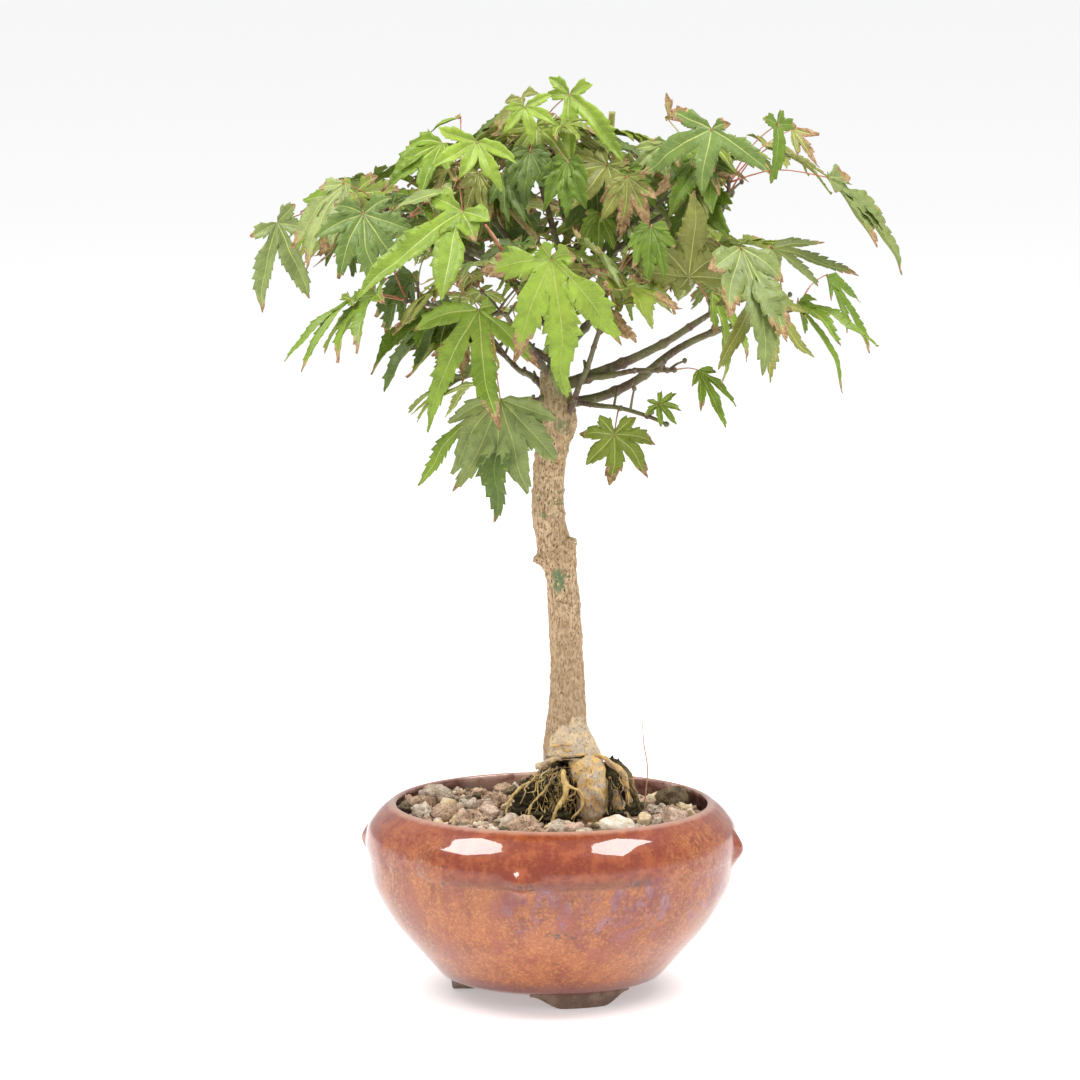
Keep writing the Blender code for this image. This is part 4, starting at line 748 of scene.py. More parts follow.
class Surface:
    """A Principled material, and short ways to lay noise and colours over one another."""

    def __init__(self, name, rough, specular, tone=None):
        self.material = bpy.data.materials.new(name)
        self.material.use_nodes = True
        self.tree = self.material.node_tree
        self.shader = self.tree.nodes["Principled BSDF"]
        self.tone = tone
        self.set(Roughness=rough, Specular_IOR_Level=specular)
        self.place = self.node("TexCoord").outputs["Object"]

    def set(self, **values):
        for name, value in values.items():
            self.shader.inputs[name.replace("_", " ")].default_value = value

    def node(self, kind, **values):
        """A new node, with values for some of its inputs."""
        made = self.tree.nodes.new("ShaderNode" + kind)
        for name, value in values.items():
            made.inputs[name.replace("_", " ")].default_value = value
        return made

    def fill(self, socket, value):
        """Gives a socket a number, a colour or what another node puts out."""
        if isinstance(value, tuple):
            socket.default_value = (*value, 1.0)
        elif isinstance(value, (int, float)):
            socket.default_value = value
        else:
            self.tree.links.new(value, socket)

    def texture(self, made, stretch):
        """Lays a texture out by the object's own place, stretched if asked."""
        place = self.place
        if stretch:
            mapping = self.node("Mapping", Scale=stretch)
            self.fill(mapping.inputs["Vector"], place)
            place = mapping.outputs["Vector"]
        self.fill(made.inputs["Vector"], place)
        return made

    def noise(self, size, detail=3.0, rough=0.55, stretch=None, twist=0.0):
        """Noise with features of a size in millimetres."""
        made = self.node("TexNoise", Scale=1.0 / (size * MM), Detail=detail, Roughness=rough,
                         Distortion=twist)
        return self.texture(made, stretch).outputs["Fac"]

    def cells(self, size, feature="F1", stretch=None):
        made = self.node("TexVoronoi", Scale=1.0 / (size * MM))
        made.feature = feature
        return self.texture(made, stretch).outputs["Distance"]

    def band(self, source, low, high):
        """0 below low, 1 above high, smooth between."""
        made = self.node("MapRange", From_Min=low, From_Max=high)
        made.interpolation_type = "SMOOTHSTEP"
        self.fill(made.inputs["Value"], source)
        return made.outputs["Result"]

    def patches(self, low, high, share, *size, **more):
        """Noise of a size cut to patches, and how much they cover what is below."""
        made = self.band(self.noise(*size, **more), low, high)
        return made if share == 1.0 else self.times(made, share)

    def sum(self, first, second, operation="ADD"):
        made = self.node("Math")
        made.operation = operation
        made.use_clamp = operation in ("ADD", "MULTIPLY")
        self.fill(made.inputs[0], first)
        self.fill(made.inputs[1], second)
        return made.outputs["Value"]

    def times(self, first, second):
        return self.sum(first, second, "MULTIPLY")

    def height(self, axis="Z"):
        made = self.node("SeparateXYZ")
        self.fill(made.inputs["Vector"], self.place)
        return made.outputs[axis]

    def near_spots(self, spots):
        """1 near any of some places, 0 away from them."""
        total = None
        for x, y, z, radius in spots:
            made = self.node("VectorMath")
            made.operation = "DISTANCE"
            made.inputs[1].default_value = world(Vector((x, y, z)))
            self.fill(made.inputs[0], self.place)
            share = self.band(made.outputs["Value"], radius * MM, 0.4 * radius * MM)
            total = share if total is None else self.sum(total, share)
        return total

    def side_veins(self, step, thick):
        """1 on thin lines that leave a blade's midrib slanting forward, a step in millimetres apart."""
        plan = self.node("UVMap")
        plan.uv_map = "plan"
        apart = self.node("SeparateXYZ")
        self.fill(apart.inputs["Vector"], plan.outputs["UV"])
        last = apart.outputs["Y"]
        for operation, value in (("ABSOLUTE", 0.0), ("MULTIPLY", -0.9), ("ADD", apart.outputs["X"]),
                                 ("DIVIDE", step), ("PINGPONG", 0.5)):
            made = self.node("Math")
            made.operation = operation
            self.fill(made.inputs[0], last)
            self.fill(made.inputs[1], value)
            last = made.outputs["Value"]
        return self.band(last, thick, 0.3 * thick)

    def mix(self, share, first, second):
        made = self.node("Mix")
        made.data_type = "RGBA"
        for name, value in (("Factor_Float", share), ("A_Color", first), ("B_Color", second)):
            self.fill(next(s for s in made.inputs if s.identifier == name), value)
        return next(s for s in made.outputs if s.identifier == "Result_Color")

    def lay(self, share, colour):
        """Lays a colour over the tone so far."""
        self.tone = self.mix(share, self.tone, colour)

    def bump(self, source, depth, strength=1.0):
        """Relief whose full height is a depth in millimetres."""
        made = self.node("Bump", Strength=strength, Distance=depth * MM)
        self.fill(made.inputs["Height"], source)
        last = self.shader.inputs["Normal"]
        if last.is_linked:
            self.fill(made.inputs["Normal"], last.links[0].from_socket)
        self.fill(last, made.outputs["Normal"])

    def finish(self):
        self.fill(self.shader.inputs["Base Color"], self.tone)
        return self.material


def scaled(colour, share):
    return tuple(min(channel * share, 1.0) for channel in colour)


# leaf tones: partly each leaf's own colour, partly painted light and shade, from bright for leaves lit from
# the front to deep and dark for shaded ones
LEAF_COLOURS = {
    "bright": (0.290, 0.420, 0.046),
    "fresh": (0.235, 0.352, 0.036),
    "mid": (0.192, 0.305, 0.022),
    "moss": (0.225, 0.290, 0.034),
    "deep": (0.145, 0.238, 0.020),
    "dark": (0.112, 0.172, 0.030),
    "grey": (0.240, 0.305, 0.090),
    "sage": (0.165, 0.250, 0.055),
    "pale": (0.320, 0.390, 0.125),
    "olive": (0.255, 0.268, 0.055),
    "yellow": (0.420, 0.430, 0.040),
    "tan": (0.400, 0.320, 0.115),
}
UNDERSIDE = (0.300, 0.350, 0.105)
SIDE_VEIN_STEP = 3.4


def leaf_material(name, colour, under=False):
    """A leaf's skin: soft patches, a fine net of veins in relief and a satin sheen."""
    red, green, blue = colour
    rough, specular = (0.7, 0.12) if under else (0.42, 0.4)
    skin = Surface("leaf_" + name, rough, specular, scaled(colour, 0.84))
    skin.lay(skin.patches(0.35, 0.68, 1.0, 7.0, 4.0), scaled(colour, 1.16))
    skin.lay(skin.patches(0.54, 0.7, 0.4, 11.0, 3.0), (red * 1.35, green * 1.15, blue * 0.9))
    skin.lay(skin.patches(0.5, 0.8, 0.5, 0.6, 2.0), scaled(colour, 1.4))
    ribs = skin.side_veins(SIDE_VEIN_STEP, 0.07)
    skin.lay(skin.times(ribs, 0.55), (red * 1.5 + 0.05, green * 1.35 + 0.05, blue * 1.4))
    skin.bump(skin.band(skin.cells(1.1, "DISTANCE_TO_EDGE"), 0.0, 0.2), 0.05, 0.45)
    skin.bump(skin.noise(2.2, 3.0), 0.22, 0.4)
    skin.bump(ribs, -0.22, 0.6)
    return skin.finish()


VEIN_COLOURS = {"vein_light": (0.54, 0.60, 0.17), "vein_dark": (0.27, 0.36, 0.08)}
STALK_COLOURS = {
    "stalk_red": ((0.48, 0.13, 0.07), (0.58, 0.28, 0.16)),
    "stalk_pink": ((0.60, 0.26, 0.17), (0.50, 0.38, 0.18)),
    "stalk_green": ((0.36, 0.38, 0.10), (0.50, 0.28, 0.12)),
}
# skins of noise alone: roughness, specular level and first colour. Then for each layer of patches
# from where to where its noise fades in, its share, the noise's size and detail, and its colour.
# Then for each relief its noise, depth and strength
NOISE_SKINS = {
    "leaf_dry_end": (0.8, 0.2, (0.29, 0.165, 0.075), (
        ((0.35, 0.65, 1.0, 1.8, 4.0, 0.65), (0.56, 0.38, 0.20)),
        ((0.5, 0.75, 1.0, 0.5), (0.15, 0.065, 0.035)),
    ), (((0.8, 4.0), 0.3, 0.8),)),
    "soil": (0.95, 0.15, (0.16, 0.11, 0.075), (
        ((0.4, 0.62, 1.0, 4.0, 5.0), (0.33, 0.235, 0.16)),
        ((0.52, 0.72, 1.0, 0.7, 3.0), (0.40, 0.30, 0.20)),
    ), (((1.2, 5.0), 1.0, 0.9),)),
    "bare_clay": (0.78, 0.3, (0.175, 0.115, 0.085), (
        ((0.4, 0.62, 1.0, 6.0, 4.0), (0.27, 0.185, 0.14)),
        ((0.6, 0.75, 1.0, 0.5, 2.0), (0.38, 0.27, 0.20)),
    ), (((0.6, 4.0), 0.18, 0.7),)),
}


def noise_material(name, rough, specular, tone, layers, reliefs):
    skin = Surface(name, rough, specular, tone)
    for spread, colour in layers:
        skin.lay(skin.patches(*spread), colour)
    for grain, depth, strength in reliefs:
        skin.bump(skin.noise(*grain), depth, strength)
    return skin.finish()


def bough_material():
    """Young bark: purple-brown over olive, with pale lenticels."""
    skin = Surface("young_bark", 0.5, 0.4, (0.12, 0.075, 0.05))
    skin.lay(skin.patches(0.4, 0.62, 1.0, 9.0, 3.0), (0.17, 0.17, 0.07))
    skin.lay(skin.patches(0.5, 0.75, 1.0, 1.6, 4.0), (0.27, 0.20, 0.13))
    dots = skin.band(skin.cells(1.5), 0.22, 0.1)
    skin.lay(skin.times(dots, 0.6), (0.42, 0.33, 0.22))
    skin.bump(skin.noise(0.9, 4.0), 0.16, 0.7)
    skin.bump(dots, 0.1, 0.6)
    return skin.finish()


def bark_material():
    """Old bark: tan and grey-brown, streaked, with dark lenticels and green patches; darker above
    the root base and under the fork, and pale bare wood at its ragged foot."""
    skin = Surface("old_bark", 0.82, 0.25, (0.33, 0.200, 0.110))
    streaks = skin.noise(1.05, 5.0, 0.68, stretch=(1.0, 1.0, 0.42))
    skin.lay(skin.band(streaks, 0.36, 0.62), (0.78, 0.575, 0.36))
    skin.lay(skin.patches(0.42, 0.66, 0.5, 10.0, 3.0), (0.50, 0.33, 0.185))
    dashes = skin.band(skin.cells(1.0, stretch=(1.0, 1.0, 0.5)), 0.36, 0.16)
    dashes = skin.times(dashes, skin.patches(0.36, 0.5, 1.0, 2.4, 2.0))
    skin.lay(skin.times(dashes, 0.85), (0.105, 0.060, 0.035))
    algae = skin.times(skin.patches(0.55, 0.62, 1.0, 2.6, 3.0, 0.6), skin.near_spots(ALGAE))
    skin.lay(skin.times(algae, 0.85), (0.125, 0.205, 0.075))
    patch = skin.times(skin.patches(0.36, 0.46, 1.0, 1.8, 3.0), skin.near_spots(ALGAE_PATCH))
    skin.lay(skin.times(patch, 0.85), (0.145, 0.240, 0.115))
    height = skin.height()
    skin.lay(skin.times(skin.band(height, 0.165, 0.125), 0.4), (0.40, 0.27, 0.16))
    skin.lay(skin.times(skin.band(height, 0.232, 0.250), 0.45), (0.22, 0.21, 0.11))
    aside = skin.times(skin.sum(AXIS.x + 4.0 * MM, skin.height("X"), "SUBTRACT"), 1.8)
    edge = skin.sum(skin.sum(height, skin.times(skin.noise(5.0, 5.0), 0.016)), aside)
    foot = skin.band(edge, 0.1205, 0.1190)
    wood = skin.mix(skin.patches(0.42, 0.58, 1.0, 3.0, 5.0, 0.6), (0.88, 0.68, 0.42), (0.66, 0.55, 0.42))
    wood = skin.mix(skin.patches(0.52, 0.64, 0.7, 1.1, 4.0), wood, (0.30, 0.20, 0.12))
    skin.lay(skin.times(foot, 0.85), wood)
    skin.bump(streaks, 0.5, 0.8)
    skin.bump(skin.noise(0.7, 3.0), 0.2, 0.6)
    skin.bump(dashes, -0.25, 0.8)
    return skin.finish()


# green patches on the trunk: x, y, z, radius in millimetres
ALGAE = (
    (3.0, -8.0, 170.0, 7.0), (10.0, -5.0, 169.0, 9.0), (-4.0, -8.0, 199.0, 8.0),
    (2.0, -8.0, 204.0, 9.0), (6.0, -6.0, 225.0, 8.0), (0.0, 8.0, 186.0, 10.0),
)
ALGAE_PATCH = ((2.4, -6.6, 171.5, 4.4), (2.0, -6.6, 167.0, 3.6), (3.8, -5.6, 233.0, 4.5))


# root wood: light and dark colour, share of the moss on it, share of its dark cracks
ROOT_WOODS = {
    "cut": ((0.74, 0.62, 0.42), (0.60, 0.47, 0.30), 0.0, 0.6),
    "ochre": ((0.80, 0.52, 0.20), (0.52, 0.40, 0.28), 0.0, 0.6),
    "burr": ((0.86, 0.55, 0.19), (0.60, 0.50, 0.40), 0.0, 1.0),
    "pale": ((0.82, 0.70, 0.38), (0.68, 0.56, 0.28), 0.0, 0.6),
    "yellow": ((0.82, 0.60, 0.24), (0.60, 0.42, 0.17), 0.0, 0.6),
    # dark: near-black wood and earth, used also as painted shade in the root base's hollow and gap
    "dark": ((0.025, 0.018, 0.012), (0.070, 0.050, 0.028), 0.3, 0.6),
    "skirt": ((0.08, 0.055, 0.03), (0.23, 0.16, 0.085), 0.4, 0.6),
}


def root_material(name, light, dark, moss, cracks):
    """Root wood: ochre with grey weathered patches, or dark and mossy."""
    skin = Surface("root_" + name, 0.85, 0.2, light)
    skin.lay(skin.patches(0.38, 0.62, 1.0, 3.2, 5.0, 0.6), dark)
    grain = skin.noise(0.8, 4.0, 0.6, stretch=(1.0, 1.0, 0.45))
    skin.lay(skin.times(skin.band(grain, 0.5, 0.72), cracks), scaled(dark, 0.35))
    if moss:
        skin.lay(skin.patches(0.52, 0.62, moss, 2.2, 4.0), (0.13, 0.17, 0.03))
    skin.bump(grain, 0.5, 0.8)
    skin.bump(skin.noise(2.5, 3.0), 0.6, 0.6)
    return skin.finish()


# kinds of stone: light and dark colour, share of the pits
STONE_KINDS = {
    "pumice": ((0.74, 0.60, 0.47), (0.42, 0.32, 0.24), 0.8),
    "brown": ((0.72, 0.50, 0.35), (0.42, 0.28, 0.19), 0.7),
    "grey": ((0.78, 0.65, 0.52), (0.48, 0.38, 0.29), 0.5),
    "rose": ((0.80, 0.60, 0.46), (0.55, 0.37, 0.27), 0.5),
    "cream": ((0.88, 0.76, 0.55), (0.72, 0.52, 0.29), 0.25),
    "white": ((0.92, 0.84, 0.72), (0.76, 0.62, 0.46), 0.15),
    "dark": ((0.26, 0.20, 0.12), (0.13, 0.10, 0.06), 0.6),
}


def stone_material(name, light, dark, pits):
    """A stone: mottled, grainy, pitted where it is porous."""
    skin = Surface("stone_" + name, 0.9, 0.2, light)
    skin.lay(skin.patches(0.36, 0.64, 1.0, 3.5, 5.0, 0.6), dark)
    skin.lay(skin.patches(0.5, 0.72, 0.5, 0.5, 3.0), scaled(dark, 0.5))
    holes = skin.times(skin.band(skin.cells(1.1), 0.34, 0.16), pits)
    skin.lay(holes, scaled(dark, 0.3))
    skin.bump(skin.noise(0.9, 4.0), 0.6, 0.9)
    skin.bump(holes, -0.5, 0.8)
    return skin.finish()


def glaze_material():
    """A copper glaze: red-brown and glossy on the shoulder, orange and speckled below, with purple
    runs under the shoulder, dark pits, a thin pale lip that is partly wear and partly painted
    highlight, and painted shade in the front crease and under the front button."""
    skin = Surface("copper_glaze", 0.35, 0.12, (0.265, 0.066, 0.024))
    height = skin.height()
    skin.lay(skin.patches(0.36, 0.62, 1.0, 11.0, 5.0, 0.6, stretch=(1.0, 1.0, 0.4), twist=0.5),
             (0.440, 0.140, 0.046))
    mottle = skin.noise(1.5, 6.0, 0.72)
    skin.lay(skin.times(skin.band(mottle, 0.46, 0.62), 0.7), (0.60, 0.235, 0.080))
    skin.lay(skin.patches(0.50, 0.64, 0.7, 0.9, 5.0, 0.75), (0.200, 0.055, 0.024))
    skin.lay(skin.patches(0.5, 0.62, 0.6, 13.0, 5.0, 0.62, stretch=(1.0, 1.0, 0.5)), (0.315, 0.075, 0.050))

    edge = skin.sum(height, skin.times(skin.noise(7.0, 5.0, 0.65), 0.010))
    shoulder = skin.band(edge, 0.0600, 0.0655)
    streaks = skin.patches(0.42, 0.62, 1.0, 6.0, 6.0, 0.66)
    red = skin.mix(streaks, (0.235, 0.034, 0.016), (0.365, 0.082, 0.028))
    copper = skin.times(skin.near_spots(COPPER), skin.patches(0.40, 0.56, 1.0, 3.2, 6.0, 0.7))
    shoulder = skin.times(shoulder, skin.sum(1.0, skin.times(copper, 0.9), "SUBTRACT"))
    skin.lay(skin.times(shoulder, 0.85), red)

    near = skin.near_spots(PURPLE)
    below = skin.times(skin.band(height, 0.022, 0.044), skin.band(height, 0.0600, 0.0550))
    run = skin.patches(0.44, 0.62, 1.0, 6.5, 6.0, 0.66, stretch=(1.0, 1.0, 0.5), twist=0.8)
    purple = skin.times(skin.times(run, skin.times(below, near)), 0.8)
    skin.lay(purple, (0.235, 0.060, 0.078))
    skin.lay(skin.times(skin.patches(0.42, 0.66, 1.0, 6.0, 3.0), purple), (0.36, 0.20, 0.24))
    lilac = skin.band(skin.sum(height, skin.times(skin.noise(5.0, 4.0), 0.004)), 0.0158, 0.0105)
    skin.lay(skin.times(lilac, 0.7), (0.20, 0.075, 0.075))

    # darker glaze pooled in the front crease, and painted shade where the shoulder curves under it
    pooled_glaze_and_shade = skin.times(skin.band(height, 0.0550, 0.0562), skin.band(height, 0.0612, 0.0568))
    pooled_glaze_and_shade = skin.times(pooled_glaze_and_shade, skin.near_spots(FRONT_CREASE))
    skin.lay(skin.times(pooled_glaze_and_shade, 0.5), (0.110, 0.032, 0.018))
    # dark blemishes, dark spots in the end dimples, and a painted shadow under the front button
    fleck_and_shadow = skin.times(skin.near_spots(BLEMISHES_AND_SHADOW), skin.patches(0.46, 0.56, 1.0, 1.6, 4.0))
    skin.lay(skin.times(fleck_and_shadow, 0.8), (0.060, 0.045, 0.045))
    pits = skin.band(skin.cells(3.6), 0.13, 0.07)
    pits = skin.times(pits, skin.patches(0.48, 0.54, 1.0, 8.0, 2.0))
    skin.lay(skin.times(pits, 0.85), (0.055, 0.035, 0.03))
    # the pale lip: glaze worn thin there, lightened further as a painted highlight
    worn_lip_and_highlight = skin.band(skin.sum(height, skin.times(skin.noise(4.0, 3.0), 0.0012)), 0.0768, 0.0782)
    skin.lay(skin.times(worn_lip_and_highlight, 0.6), (0.62, 0.36, 0.26))
    skin.set(Coat_Weight=0.92, Coat_Roughness=0.04, Coat_IOR=1.56)
    skin.bump(mottle, 0.06, 0.25)
    skin.bump(skin.noise(16.0, 2.0), 0.9, 0.22)
    skin.bump(pits, -0.25, 0.5)
    return skin.finish()


def inner_glaze_material():
    """The dark glaze on the bowl's inner wall, with paler patches and a painted pink reflection."""
    skin = Surface("inner_glaze", 0.25, 0.4, (0.24, 0.105, 0.095))
    skin.lay(skin.patches(0.4, 0.62, 1.0, 4.0, 5.0), (0.46, 0.23, 0.20))
    # painted reflection: pink spots where the inner wall mirrors the light
    painted_reflection = skin.times(skin.near_spots(PAINTED_REFLECTION_SPOTS), skin.patches(0.3, 0.5, 1.0, 6.0, 3.0))
    skin.lay(painted_reflection, (0.80, 0.56, 0.50))
    skin.set(Coat_Weight=1.0, Coat_Roughness=0.08, Coat_IOR=1.6)
    skin.bump(skin.noise(9.0, 2.0), 0.8, 0.3)
    return skin.finish()


# a painted pink reflection on the inner wall: x, y, z, radius
PAINTED_REFLECTION_SPOTS = ((-26.0, 54.0, 73.0, 15.0), (-10.0, 58.0, 73.0, 12.0), (48.0, 38.0, 72.0, 10.0))
# the crease under the front panel, darker partly as pooled glaze and partly as painted shade: x, y, z,
# radius
FRONT_CREASE = (
    (-34.0, -68.0, 57.0, 14.0), (-20.0, -73.0, 57.0, 14.0), (-6.0, -76.0, 57.0, 14.0),
    (8.0, -76.0, 57.0, 14.0), (20.0, -72.0, 57.0, 14.0), (34.0, -68.0, 57.0, 12.0),
)
# the small dark blemishes on the belly, dark spots in the dimples at the panels' ends, and a painted shadow
# under the front button: x, y, z, radius
BLEMISHES_AND_SHADOW = (
    (-1.0, -68.0, 37.5, 2.6), (3.4, -68.0, 36.5, 3.6), (9.0, -68.0, 36.0, 2.4),
    (-43.0, -61.0, 57.0, 2.4), (34.0, -67.0, 57.0, 2.2), (-12.0, -78.0, 57.4, 3.0),
    (-8.0, -78.0, 57.2, 3.0),
)
# orange patches of the shoulder, between its panels: x, y, z, radius
COPPER = (
    (-58.0, -50.0, 63.0, 26.0), (62.0, -44.0, 62.0, 28.0),
    (50.0, 58.0, 62.0, 28.0), (-60.0, 46.0, 63.0, 26.0),
)
# purple runs of the glaze: x, y, z, radius
PURPLE = (
    (-6.0, -74.0, 48.0, 20.0), (33.0, -66.0, 44.0, 30.0), (66.0, -36.0, 48.0, 22.0),
    (-30.0, 66.0, 46.0, 30.0), (40.0, 60.0, 48.0, 26.0), (-70.0, -10.0, 50.0, 18.0),
)


def make_materials():
    """Every material by the name that the pieces use for it."""
    made = {name: noise_material(name, *row) for name, row in NOISE_SKINS.items()}
    for name, tone in VEIN_COLOURS.items():
        layer = ((0.3, 0.7, 1.0, 2.0), scaled(tone, 0.82))
        made[name] = noise_material(name, 0.45, 0.4, tone, (layer,), ())
    for name, (tone, other) in STALK_COLOURS.items():
        layer = ((0.35, 0.65, 1.0, 4.0), other)
        relief = ((0.6, 2.0, 0.55, (1.0, 1.0, 0.3)), 0.05, 0.5)
        made[name] = noise_material(name, 0.38, 0.45, tone, (layer,), (relief,))
    for name, colour in LEAF_COLOURS.items():
        mixed = tuple(0.45 * a + 0.55 * b for a, b in zip(colour, UNDERSIDE))
        made[name] = leaf_material(name, colour)
        made[name + "_under"] = leaf_material(name + "_under", mixed, under=True)
    for name, row in ROOT_WOODS.items():
        made["root_" + name] = root_material(name, *row)
    for name, row in STONE_KINDS.items():
        made["stone_" + name] = stone_material(name, *row)
    # the names that differ
    made["dry_end"] = made["leaf_dry_end"]
    made["vein"] = made["vein_light"]
    made["cut_wood"] = made["root_cut"]
    made["clay"] = made["bare_clay"]
    made["bough"] = bough_material()
    made["bark"] = bark_material()
    made["glaze"] = glaze_material()
    made["glaze_inside"] = inner_glaze_material()
    return made


MATERIALS = make_materials()


# ---- shapes ----------------------------------------------------------------------------------


class Piece:
    """Points in millimetres and faces with a material each, gathered into one object."""

    def __init__(self, name):
        self.name = name
        self.points = []
        self.faces = []
        self.kinds = []
        self.plan = []

    def add(self, shell, kind, plan=None, at=None):
        """Takes in a shell with one material or one for each face, a place on a flat plan for
        each corner of each face, and how far the shell is moved."""
        start = len(self.points)
        points, faces = shell
        self.points += [point + at for point in points] if at else points
        self.faces += [tuple(start + i for i in face) for face in faces]
        self.kinds += kind if isinstance(kind, list) else [kind] * len(faces)
        self.plan += plan or []

    def make(self, replaces):
        """Makes the object; it rides on the root and may stand in for nodes of the solids."""
        mesh = bpy.data.meshes.new(self.name)
        mesh.from_pydata([tuple(world(point)) for point in self.points], [], self.faces)
        names = sorted(set(self.kinds))
        for name in names:
            mesh.materials.append(MATERIALS[name])
        mesh.polygons.foreach_set("material_index", [names.index(kind) for kind in self.kinds])
        if self.plan:
            corners = [value for places in self.plan for place in places for value in place]
            mesh.uv_layers.new(name="plan").uv.foreach_set("vector", corners)
        mesh.shade_smooth()
        made = bpy.data.objects.new(self.name, mesh)
        bpy.context.scene.collection.objects.link(made)
        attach(made, "root")
        if replaces:
            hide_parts(*replaces)
        return made


def spline(points, i, share):
    """A place on the smooth curve through points, a share of the way from point i to the next."""
    before, start = points[max(i - 1, 0)], points[i]
    end, after = points[i + 1], points[min(i + 2, len(points) - 1)]
    return 0.5 * ((2 * start) + (end - before) * share
                  + (2 * before - 5 * start + 4 * end - after) * share * share
                  + (3 * start - before - 3 * end + after) * share ** 3)


def smooth_path(points, steps):
    """A smooth path through points, with a number of steps between each pair."""
    path = [spline(points, i, k / steps) for i in range(len(points) - 1) for k in range(steps)]
    return path + [points[-1]]


def smooth_values(values, steps):
    """The values that go with smooth_path."""
    return [v.x for v in smooth_path([Vector((value, 0, 0)) for value in values], steps)]


def vectors(places):
    return [Vector(place) for place in places]


def tube(path, radii, sides, steps=4):
    """A smooth tapering tube through a few points."""
    return ring_shell(smooth_path(path, steps), smooth_values(radii, steps), sides)


def gnarled(shell, size, depth, seed):
    """A shell with its points pushed about by noise."""
    points, faces = shell
    shift = Vector((seed * 7.3, seed * 3.1, 0))
    return [point + noise.noise_vector(point / size + shift) * depth for point in points], faces


def chipped(shell, half, count, rng):
    """A lump about the origin with some flat faces broken off it."""
    for _ in range(count):
        out = polar(rng.uniform(0.0, 360.0), rng.uniform(-60.0, 80.0))
        limit = rng.uniform(0.62, 0.86) * Vector([a * b for a, b in zip(out, half)]).length
        for point in shell[0]:
            past = point.dot(out) - limit
            if past > 0.0:
                point -= 0.85 * past * out
    return shell


def taken_from(bm):
    """Points and faces of a bmesh, which is freed."""
    bm.verts.index_update()
    points = [vert.co.copy() for vert in bm.verts]
    faces = [tuple(vert.index for vert in face.verts) for face in bm.faces]
    bm.free()
    return points, faces


# the noise of a lump: how much of its roughness, and how much finer
LUMP_NOISE = ((1.0, 1.0), (0.45, 2.7), (0.22, 6.5))


def lump(centre, half, detail, rough, size, seed):
    """A rounded lump: an icosphere pushed about by three sizes of noise and squashed."""
    bm = bmesh.new()
    bmesh.ops.create_icosphere(bm, subdivisions=detail, radius=1.0)
    outs, faces = taken_from(bm)
    shift = Vector((seed * 1.7, seed * 0.9, seed * 2.3))
    points = []
    for out in outs:
        grow = 1.0
        for share, finer in LUMP_NOISE:
            grow += share * rough * noise.noise(out * size * finer + shift)
        points.append(Vector(centre) + Vector([a * b for a, b in zip(out, half)]) * grow)
    return points, faces


# ---- leaves ----------------------------------------------------------------------------------

BLADE_SEED = 1200
FINE_STALK_RADII = (0.44, 0.27, 0.28, 0.26)
LEAF_SKIN = 0.16
WEB_STEPS = 3
# one tooth of the edge is four rows: how far each stands out, and how far it leans to the tip
TOOTH_ROWS = ((-0.10, 0.0), (0.00, 0.3), (0.07, 0.7), (0.17, 1.5))
# how deep single teeth cut, and the least and greatest step between rows
JAGS = (0.2, 0.6, 1.0, 1.3, 1.7)
ROW_STEP = (0.8, 1.2)
RIPPLE = 0.04
# from where on the middle lobe takes a leaf's second colour, a darker tone that is partly painted shade
TIP_FROM = 0.45
# how much further back a lobe's dry end reaches, from one edge over the midrib to the other
SCORCH = (1.3, 0.2, -0.3, 0.2, 1.3)
VEIN_HALF = 0.3
VEIN_UP = -0.1
WIDEST = 0.5


def flat_heading(angle):
    turn = math.radians(angle)
    return Vector((math.cos(turn), math.sin(turn)))


def lobe_width(share, web_share, web_width, wide):
    """Half width of a lobe beyond the web that joins it to its neighbours."""
    if share < WIDEST:
        return web_width + (wide - web_width) * smoothstep(web_share, WIDEST, share)
    past = (share - WIDEST) / (1.0 - WIDEST)
    return wide * (1.0 - past) * (1.0 + 0.75 * past)


